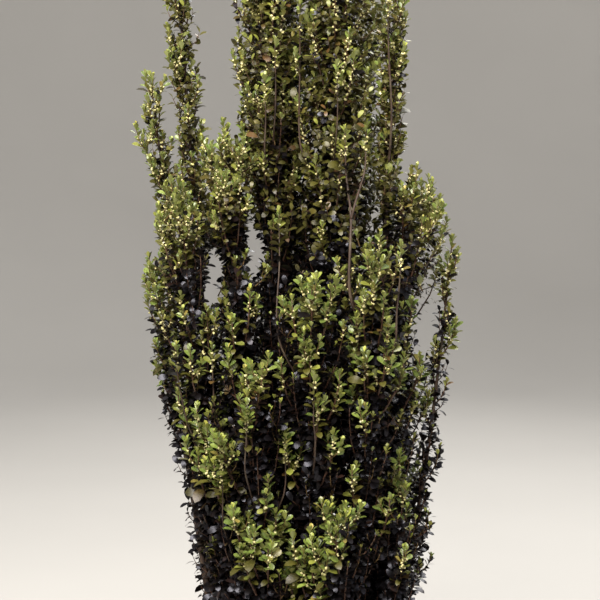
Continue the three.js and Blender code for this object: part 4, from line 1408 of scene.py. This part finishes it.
# %% [markdown]
# ## Bark
# Young wood is thin and olive brown, older wood reddish brown, and the stems are dark with grey patches. All
# of them share one surface: two tints in streaks along the wood, patches of grey, and fine relief. The
# streaks are plain noise that is stretched upwards, which suits wood that stands nearly upright.

# %% Bark
STREAK_SQUEEZE = (1, 1, 0.2)  # makes the noise five times as long upwards
PATCH_WIDTH = 6  # in widths of a streak

bark_surface, given, result = new_group(
    "bark surface",
    [("Deep", COLOUR, (0, 0, 0, 1)), ("Light", COLOUR, (1, 1, 1, 1)), ("Grey", COLOUR, (0.5, 0.5, 0.5, 1)),
     ("Streak Scale", NUMBER, 400), ("Patch Scale", NUMBER, 70)],
    [("Color", COLOUR), ("Roughness", NUMBER), ("Height", NUMBER)],
)
stretch = bark_surface.nodes.new("ShaderNodeMapping")
stretch.inputs["Scale"].default_value = STREAK_SQUEEZE
own_place = bark_surface.nodes.new("ShaderNodeTexCoord").outputs["Object"]
bark_surface.links.new(own_place, stretch.inputs["Vector"])
long_noise = noise(bark_surface, given.outputs["Streak Scale"], 4, 0.6, stretch.outputs["Vector"])
streaks = remap(bark_surface, long_noise, 0.3, 0.7)
patches = remap(bark_surface, noise(bark_surface, given.outputs["Patch Scale"], 3), 0.5, 0.68, 0, 0.8)
colour = mix_colours(bark_surface, streaks, given.outputs["Deep"], given.outputs["Light"])
colour = mix_colours(bark_surface, patches, colour, given.outputs["Grey"])
bark_surface.links.new(colour, result.inputs["Color"])
bark_surface.links.new(remap(bark_surface, streaks, 0, 1, 0.55, 0.8), result.inputs["Roughness"])
bark_surface.links.new(streaks, result.inputs["Height"])


def bark_material(name, deep, light, grey, scale):
    """Bark whose streaks have some scale."""
    material, tree, shader = new_material(name)
    scales = dict(streak_scale=scale, patch_scale=scale / PATCH_WIDTH)
    surface = place_group(tree, bark_surface, deep=deep, light=light, grey=grey, **scales)
    tree.links.new(surface["Color"], shader.inputs["Base Color"])
    tree.links.new(surface["Roughness"], shader.inputs["Roughness"])
    add_bump(tree, shader, surface["Height"], 0.5, 0.0006)
    return material


print("bark surface:", len(bark_surface.nodes), "nodes")

# %% [markdown]
# ## Shoots in wood
# The wood of the shoots runs along the same points that the leaves grew on, so both fit without more ado.
# Thin twigs need few sides and few rings: a side shoot uses every second of its points, a short one every
# third, and an old one inside, hardly seen, every fourth, with three sides only.

# %% Shoots in wood
THICK_FOOT, THIN_TIP = 1.15, 0.4  # in shares of a shoot's radius

young_wood = bark_material(
    "young wood", (0.070, 0.036, 0.011), (0.160, 0.095, 0.028), (0.15, 0.10, 0.04), 500
)
twig_wood = bark_material(
    "twig wood", (0.026, 0.009, 0.005), (0.098, 0.040, 0.018), (0.11, 0.07, 0.042), 400
)
TWIG_PIECES = (
    ("side_shoots", (LEAD, SIDE), twig_wood, 4, 2),
    ("short_shoots", (SHORT,), young_wood, 4, 3),
    ("inner_twigs", (INNER,), twig_wood, 3, 4),
)
for name, orders, material, sides, step in TWIG_PIECES:
    chosen = [shoot for shoot in shoots if shoot["order"] in orders]
    kept = np.unique(np.append(np.arange(0, PATH_POINTS, step), PATH_POINTS - 1))
    paths = np.array([shoot["path"] for shoot in chosen])[:, kept]
    taper = np.linspace(THICK_FOOT, THIN_TIP, len(kept))
    radii = np.array([shoot["radius"] for shoot in chosen])[:, None] * taper
    vertices, triangles = tubes(paths, radii, sides)
    piece = mesh_piece(name, vertices, triangles, material)
    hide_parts(*MASS_NODES)
    print(name, len(triangles), "triangles")

# %% [markdown]
# ## Bark with real relief
# The stems are smooth when young and grow knobbly where leaves have fallen. Each is a tube with many rings,
# and its radius swells a little at every old leaf scar and wanders along low ridges, so that the relief is
# real mesh and not only shading.

# %% Bark with real relief
SCAR_SPACING, SCAR_REACH = 0.017, 0.0035  # along the stem
RIDGES = 5


def relief_tube(path, radii, sides, random, knobs=0.13, ridges=0.07):
    """One closed tube with swollen scars and low ridges."""
    vertices, triangles = tubes(path[None], radii[None], sides)
    rings = len(path)
    body = vertices[: rings * sides].reshape(rings, sides, 3)
    angles = np.linspace(0, 2 * math.pi, sides, endpoint=False)
    length = np.concatenate([[0], np.cumsum(np.linalg.norm(np.diff(path, axis=0), axis=1))])
    swell = np.zeros((rings, sides))
    for i, at in enumerate(np.arange(SCAR_SPACING, length[-1], SCAR_SPACING)):
        at = at + random.uniform(-0.3, 0.3) * SCAR_SPACING
        near = np.exp(-(((length - at) / SCAR_REACH) ** 2))
        side = 0.4 + 0.6 * np.maximum(0, np.cos(angles - i * GOLDEN_ANGLE))
        swell += knobs * near[:, None] * side
    for _ in range(RIDGES):
        wave, lobes, phase = random.uniform(40, 160), random.integers(2, 6), random.uniform(0, 2 * math.pi)
        swell += ridges / 2 * np.sin(lobes * angles[None] + phase + np.sin(length[:, None] * wave))
    middles = path[:, None, :]
    vertices[: rings * sides] = (middles + (body - middles) * (1 + swell[:, :, None])).reshape(-1, 3)
    return vertices, triangles


straight = np.column_stack([np.zeros((40, 2)), np.linspace(0, 0.2, 40)])
knobbly = relief_tube(straight, np.full(40, 0.005), 12, np.random.default_rng(1))[0]
print("a stem of 5 mm radius swells to", (np.hypot(*knobbly.T[:2]).max() * 1000).round(1), "mm at most")

# %% [markdown]
# ## Bare stems in wood
# The bare stems that show in the picture come first. Their scars and ridges stand out more than those of the
# stems, because they are thin and seen against the dark.

# %% Bare stems in wood
BARE_STEM_SIDES = 8
BARE_STEM_RELIEF = (0.22, 0.14)  # how far scars and ridges stand out, in shares of the radius

random = np.random.default_rng(31)
limbs = []
for line, radius in bare_stems:
    taper = np.linspace(1.0, 0.4, STEM_POINTS)
    limbs.append(relief_tube(line, radius * taper, BARE_STEM_SIDES, random, *BARE_STEM_RELIEF))
print(len(limbs), "bare stems in wood")

# %% [markdown]
# ## Stems
# Every column's stem is thickest at its root, thinner where it enters the foliage, and runs on up inside it
# nearly to the tip, as the real ones do: one sees it through the gaps.

# %% Stems
MAIN_RADIUS, SIDE_RADIUS, LOW_RADIUS, ENTERING_RADIUS, TIP_RADIUS = 0.0070, 0.0054, 0.0038, 0.0042, 0.0016
RING_STEP = 0.005
STEM_SIDES = 12
STEM_IN_STOCK = 0.012
BELOW_TIP = 0.10

for column in columns:
    foot = column.root - (0.0 if column.parent else STEM_IN_STOCK)
    end = column.top - BELOW_TIP
    heights = np.arange(foot, end, RING_STEP)
    start = LOW_RADIUS if column.low else SIDE_RADIUS if column.parent else MAIN_RADIUS
    if column.low:
        radii = np.interp(heights, [column.root, end], [start, TIP_RADIUS])
    else:
        radii = np.interp(heights, [column.root, column.foot, end], [start, ENTERING_RADIUS, TIP_RADIUS])
    limbs.append(relief_tube(column.axis(heights), radii, STEM_SIDES, random))
print(len(columns), "stems of columns")

# %% [markdown]
# ## Stock
# All stems rise from a short woody foot. It flares into five lobes where the roots begin, and ends flat
# under the compost. It is one more tube, wide and short, whose rings are pulled out into the lobes. Then bare
# stems, stems and stock become one mesh, because they are one piece of wood.

# %% Stock
STOCK_WAIST, STOCK_FLARE, STOCK_SHOULDER = 0.030, 0.018, 0.008
STOCK_LOBES, STOCK_LOBE_DEPTH = 5, 0.14
STOCK_SIDES, STOCK_RINGS = 60, 26
STOCK_RELIEF = (0.02, 0.05)
PAST_FOOT, PAST_TOP = 0.006, 0.004  # how far it goes past the part's stock, into the compost and the stems
TOP_RING = 0.86


def joined_arrays(parts):
    """Several pairs of arrays as one."""
    vertices, triangles, first = [], [], 0
    for part_vertices, part_triangles in parts:
        vertices.append(part_vertices)
        triangles.append(part_triangles + first)
        first += len(part_vertices)
    return np.concatenate(vertices), np.concatenate(triangles)


heights = np.linspace(STOCK_FOOT - PAST_FOOT, STOCK_TOP + PAST_TOP, STOCK_RINGS)
rise = np.clip((heights - STOCK_FOOT) / (STOCK_TOP - STOCK_FOOT), 0, 1)
flare = (1 - rise) ** 3
stock_radii = STOCK_WAIST + STOCK_FLARE * flare + STOCK_SHOULDER * rise**2
stock_radii[-1] *= TOP_RING
stock_path = np.column_stack([np.zeros((STOCK_RINGS, 2)), heights])
vertices, triangles = relief_tube(stock_path, stock_radii, STOCK_SIDES, random, *STOCK_RELIEF)
body = vertices[: STOCK_RINGS * STOCK_SIDES].reshape(STOCK_RINGS, STOCK_SIDES, 3)
bearings = np.linspace(0, 2 * math.pi, STOCK_SIDES, endpoint=False)
lobes = 1 + STOCK_LOBE_DEPTH * flare[:, None] * np.cos(STOCK_LOBES * bearings)
body[:, :, :2] *= lobes[:, :, None]
vertices[: STOCK_RINGS * STOCK_SIDES] = body.reshape(-1, 3)
limbs.append((vertices, triangles))

stem_bark = bark_material(
    "stem bark", (0.012, 0.0055, 0.0035), (0.056, 0.028, 0.015), (0.080, 0.058, 0.036), 240
)
vertices, triangles = joined_arrays(limbs)
bark_limbs = mesh_piece("stock_and_stems", vertices, triangles, stem_bark)
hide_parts(*BARK_NODES)
print("stock and stems:", len(triangles), "triangles")

# %% [markdown]
# ## The pot's outline
# A plain pot of fired clay, thrown and then banded at the rim. Half its outline is worked out first, as
# (radius, height): from the underside up the wall, over the lip and down the inside to the floor. The wall
# keeps faint throwing rings, and the edges are rounded, as the potter's wet hand leaves them.

# %% The pot's outline
POT_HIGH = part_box("pot")[1]
POT_HEIGHT, RIM_RADIUS = POT_HIGH.z, POT_HIGH.x
BASE_RADIUS = 0.122
WALL = 0.014
BAND_HEIGHT, BAND_PROUD, BAND_EDGE, BAND_BULGE = 0.046, 0.008, 0.003, 0.0006
LIP, FLOOR_EDGE = 0.005, 0.008
RING_SPACING, RING_DEPTH = 0.0045, 0.0004
INNER_SPACING, CLEAR_OF_EDGE = 0.02, 0.012


def outer_at(height):
    return BASE_RADIUS + (RIM_RADIUS - BAND_PROUD - BASE_RADIUS) * height / POT_HEIGHT


def rounded_corner(radius, height, size, start, steps=4):
    """Points round a quarter circle of the given size, from a starting angle in degrees."""
    turns = [math.radians(start + 90 * i / steps) for i in range(steps + 1)]
    return [(radius + size * math.cos(turn), height + size * math.sin(turn)) for turn in turns]


def pot_profile():
    """The pot's outline as (radius, height), from its underside up, over the lip and down to its floor."""
    band_foot = POT_HEIGHT - BAND_HEIGHT
    points = rounded_corner(BASE_RADIUS - LIP, LIP, LIP, -90)
    for height in np.arange(CLEAR_OF_EDGE, band_foot - 0.002, RING_SPACING):
        ripple = RING_DEPTH * math.sin(height * 420) + RING_DEPTH * 0.6 * math.sin(height * 173 + 1)
        points.append((outer_at(height) + ripple, height))
    points.append((outer_at(band_foot) + RING_DEPTH, band_foot))
    band_corner = outer_at(band_foot) + BAND_PROUD - BAND_EDGE
    points += rounded_corner(band_corner, band_foot + BAND_EDGE, BAND_EDGE, -90)
    points.append((RIM_RADIUS - BAND_BULGE, band_foot + 0.4 * BAND_HEIGHT))
    points += rounded_corner(RIM_RADIUS - LIP, POT_HEIGHT - LIP, LIP, 0)
    inside = outer_at(POT_HEIGHT) - WALL
    points += rounded_corner(inside + LIP, POT_HEIGHT - LIP, LIP, 90)
    for height in np.arange(POT_HEIGHT - CLEAR_OF_EDGE, WALL + CLEAR_OF_EDGE, -INNER_SPACING):
        points.append((outer_at(height) - WALL, height))
    points.append((outer_at(WALL + FLOOR_EDGE) - WALL, WALL + FLOOR_EDGE))
    points.append((outer_at(WALL) - WALL - FLOOR_EDGE, WALL))
    return points


profile = pot_profile()
print("the pot's outline has", len(profile), "points")

# %% [markdown]
# ## Pot
# The pot is drawn up from a disc along that outline, ring by ring, as a potter pulls the wall, and closed by
# its own floor. A screw modifier would turn the outline too, but drawing it up uses the helpers that are
# there already. The drain holes are bored last: a cylinder is the drill, and a boolean takes it away.

# %% Pot
POT_SEGMENTS, DRILL_SEGMENTS = 96, 24
HOLES, HOLE_RADIUS, HOLE_CIRCLE = 3, 0.008, 0.060


def close_shell():
    """Closes the last ring with a face, and turns all faces outwards."""
    bpy.ops.mesh.edge_face_add()
    bpy.ops.mesh.select_mode(type="VERT")
    bpy.ops.mesh.select_all(action="SELECT")
    bpy.ops.mesh.normals_make_consistent(inside=False)
    bpy.ops.object.mode_set(mode="OBJECT")


bpy.ops.object.select_all(action="DESELECT")
bpy.ops.mesh.primitive_circle_add(vertices=POT_SEGMENTS, radius=profile[0][0], fill_type="NGON")
pot = bpy.context.object
pot.name = "clay_pot"
take_rim()
draw_up(profile)
close_shell()
for i in range(HOLES):
    angle = i * 2 * math.pi / HOLES
    bpy.ops.mesh.primitive_cylinder_add(
        vertices=DRILL_SEGMENTS, radius=HOLE_RADIUS, depth=4 * WALL,
        location=(HOLE_CIRCLE * math.cos(angle), HOLE_CIRCLE * math.sin(angle), WALL / 2),
    )
    drill = bpy.context.object
    cut = pot.modifiers.new("drain hole", "BOOLEAN")
    cut.operation = "DIFFERENCE"
    cut.solver = "EXACT"
    cut.object = drill
    bpy.ops.object.select_all(action="DESELECT")
    bpy.context.view_layer.objects.active = pot
    pot.select_set(True)
    bpy.ops.object.modifier_apply(modifier=cut.name)
    bpy.data.objects.remove(drill)
bpy.ops.object.shade_smooth_by_angle(angle=math.radians(40))
print("pot:", len(pot.data.polygons), "faces")

# %% [markdown]
# ## Fired clay
# Fired clay is warm, uneven, dull and grainy. Turning leaves faint bands round the wall, and lime whitens it
# where water dries out, most of all near the foot. Each of these is a layer of noise laid over the colour
# before it.

# %% Fired clay
LIME_LOW, LIME_HIGH = 0.02, 0.20


def clay_material():
    """Fired clay with turned bands, and lime that grows fainter from LIME_LOW up to LIME_HIGH."""
    material, tree, shader = new_material("fired clay")
    coordinates = tree.nodes.new("ShaderNodeTexCoord")
    parts = tree.nodes.new("ShaderNodeSeparateXYZ")
    tree.links.new(coordinates.outputs["Object"], parts.inputs["Vector"])
    bands = tree.nodes.new("ShaderNodeMapping")
    bands.inputs["Scale"].default_value = (0.25, 0.25, 3)
    tree.links.new(coordinates.outputs["Object"], bands.inputs["Vector"])
    firing = remap(tree, noise(tree, 7, 4), 0.35, 0.65)
    colour = mix_colours(tree, firing, (0.330, 0.120, 0.058, 1), (0.500, 0.215, 0.115, 1))
    turned = remap(tree, noise(tree, 26, 3, 0.6, bands.outputs["Vector"]), 0.4, 0.7, 0, 0.35)
    colour = mix_colours(tree, turned, colour, (0.560, 0.300, 0.190, 1))
    lime = tree.nodes.new("ShaderNodeMath")
    lime.operation = "MULTIPLY"
    tree.links.new(remap(tree, noise(tree, 16, 6, 0.65), 0.46, 0.66), lime.inputs[0])
    tree.links.new(remap(tree, parts.outputs["Z"], LIME_LOW, LIME_HIGH, 0.75, 0.22), lime.inputs[1])
    colour = mix_colours(tree, lime.outputs["Value"], colour, (0.640, 0.520, 0.430, 1))
    grain = noise(tree, 900, 3, 0.7)
    tree.links.new(colour, shader.inputs["Base Color"])
    tree.links.new(remap(tree, grain, 0.3, 0.7, 0.72, 0.92), shader.inputs["Roughness"])
    add_bump(tree, shader, grain, 0.35, 0.0005)
    return material


pot.data.materials.append(clay_material())
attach(pot, "root")
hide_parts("pot")
print("fired clay:", len(pot.active_material.node_tree.nodes), "nodes")

# %% [markdown]
# ## Compost
# The pot is filled with bark compost, dark and crumbly. The bed is a disc with real unevenness: a fine grid
# that a cloud texture shifts up and down. Then its rim is drawn down to the pot's floor along the inside of
# the wall, so that the compost fills the pot as it does in the part.

# %% Compost
COMPOST_FOOT, COMPOST_TOP = (corner.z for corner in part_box("compost"))
COMPOST_SLACK = 0.001
BED_ROUGHNESS, CRUMB_SIZE = 0.005, 0.012
BED_SUNK = 0.004  # the crumbs rise from here
BED_SEGMENTS, BED_CUTS = 72, 22
BED_HEIGHTS = (COMPOST_TOP, 0.20, 0.10, COMPOST_FOOT + 0.008)

bed_rings = [(outer_at(height) - WALL - COMPOST_SLACK, height) for height in BED_HEIGHTS]
bed_radius = bed_rings[0][0]
bpy.ops.object.select_all(action="DESELECT")
bpy.ops.mesh.primitive_circle_add(
    vertices=BED_SEGMENTS, radius=bed_radius, fill_type="TRIFAN", location=(0, 0, COMPOST_TOP - BED_SUNK)
)
bed = bpy.context.object
bed.name = "compost_bed"
bpy.ops.object.transform_apply(location=True)
bpy.ops.object.mode_set(mode="EDIT")
bpy.ops.mesh.select_all(action="SELECT")
bpy.ops.mesh.subdivide(number_cuts=BED_CUTS)
bpy.ops.object.mode_set(mode="OBJECT")
texture = bpy.data.textures.new("crumbs", "CLOUDS")
texture.noise_scale = CRUMB_SIZE
texture.noise_depth = 4
rough = bed.modifiers.new("crumbs", "DISPLACE")
rough.texture = texture
rough.texture_coords = "LOCAL"
rough.direction = "Z"
rough.strength = 2 * BED_ROUGHNESS
rough.mid_level = 0.5
bpy.ops.object.modifier_apply(modifier=rough.name)
take_rim()
draw_up(bed_rings)
close_shell()
bpy.ops.object.shade_smooth_by_angle(angle=math.radians(50))


def compost_material(name, deep, light):
    return two_tint_material(name, deep, light, 240, detail=5, grain=0.7, roughness=0.92, relief=(0.7, 0.002))


bed.data.materials.append(compost_material("compost", (0.012, 0.008, 0.006), (0.060, 0.040, 0.028)))
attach(bed, "root")
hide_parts("compost")
print("compost:", len(bed.data.polygons), "faces")

# %% [markdown]
# ## Chips on the compost
# Chips of bark lie on the bed, half of them dark and half light, as they are mixed in such compost. A chip is
# a flat splinter: a cube that is flattened and drawn in at one end. They are strewn evenly over the bed, and
# only the place of the stock stays free.

# %% Chips on the compost
CHIPS = 2600
CHIP_SIZES, CHIP_SLACK = (0.003, 0.011), 0.25
STREWN_TO, STREWN_SHARES = 0.97, (0.06, 1)  # shares of the bed's radius, and of its area


def model_chip():
    """A flat splinter of bark, 1 long."""
    bpy.ops.object.select_all(action="DESELECT")
    bpy.ops.mesh.primitive_cube_add(size=1)
    chip = bpy.context.object
    bpy.ops.object.mode_set(mode="EDIT")
    bpy.ops.transform.resize(value=(0.5, 1, 0.22))
    select_vertices(chip, lambda co: co.y > 0.1)
    bpy.ops.transform.resize(value=(0.45, 1, 0.6))
    bpy.ops.transform.translate(value=(0.12, 0, 0.05))
    bpy.ops.mesh.select_all(action="SELECT")
    bpy.ops.mesh.quads_convert_to_tris()
    bpy.ops.object.mode_set(mode="OBJECT")
    return chip


random = np.random.default_rng(41)
spread = bed_radius * STREWN_TO * np.sqrt(random.uniform(*STREWN_SHARES, CHIPS))
feet = outwards(random.uniform(0, 2 * math.pi, CHIPS)) * spread[:, None]
feet[:, 2] = COMPOST_TOP - BED_SUNK + random.uniform(0.0005, 0.004, CHIPS)
along = unit(outwards(random.uniform(0, 2 * math.pi, CHIPS)) + random.normal(0, CHIP_SLACK, (CHIPS, 3)))
face = unit(np.cross(along, outwards(random.uniform(0, 2 * math.pi, CHIPS))))
across = np.cross(along, face)
sizes = random.uniform(*CHIP_SIZES, CHIPS)
chip = arrays_of(model_chip())
half = CHIPS // 2
chip_finishes = (
    ("dark_chips", slice(0, half), (0.016, 0.010, 0.008), (0.070, 0.042, 0.028)),
    ("light_chips", slice(half, CHIPS), (0.060, 0.036, 0.022), (0.190, 0.125, 0.080)),
)
for name, part, deep, light in chip_finishes:
    places = tuple(values[part] for values in (feet, across, along, face, sizes))
    joined_copies(name, chip, places, compost_material(name, deep, light))

# %% [markdown]
# ## Floor finish
# The floor is a pale, slightly uneven plaster tone.

# %% Floor finish
FLOOR_COLOUR, PALER = (0.46, 0.45, 0.435), 1.04

paler = tuple(PALER * part for part in FLOOR_COLOUR)
plaster = two_tint_material("pale floor", FLOOR_COLOUR, paler, 1.5, detail=3, roughness=0.9)
floor.data.materials.append(plaster)
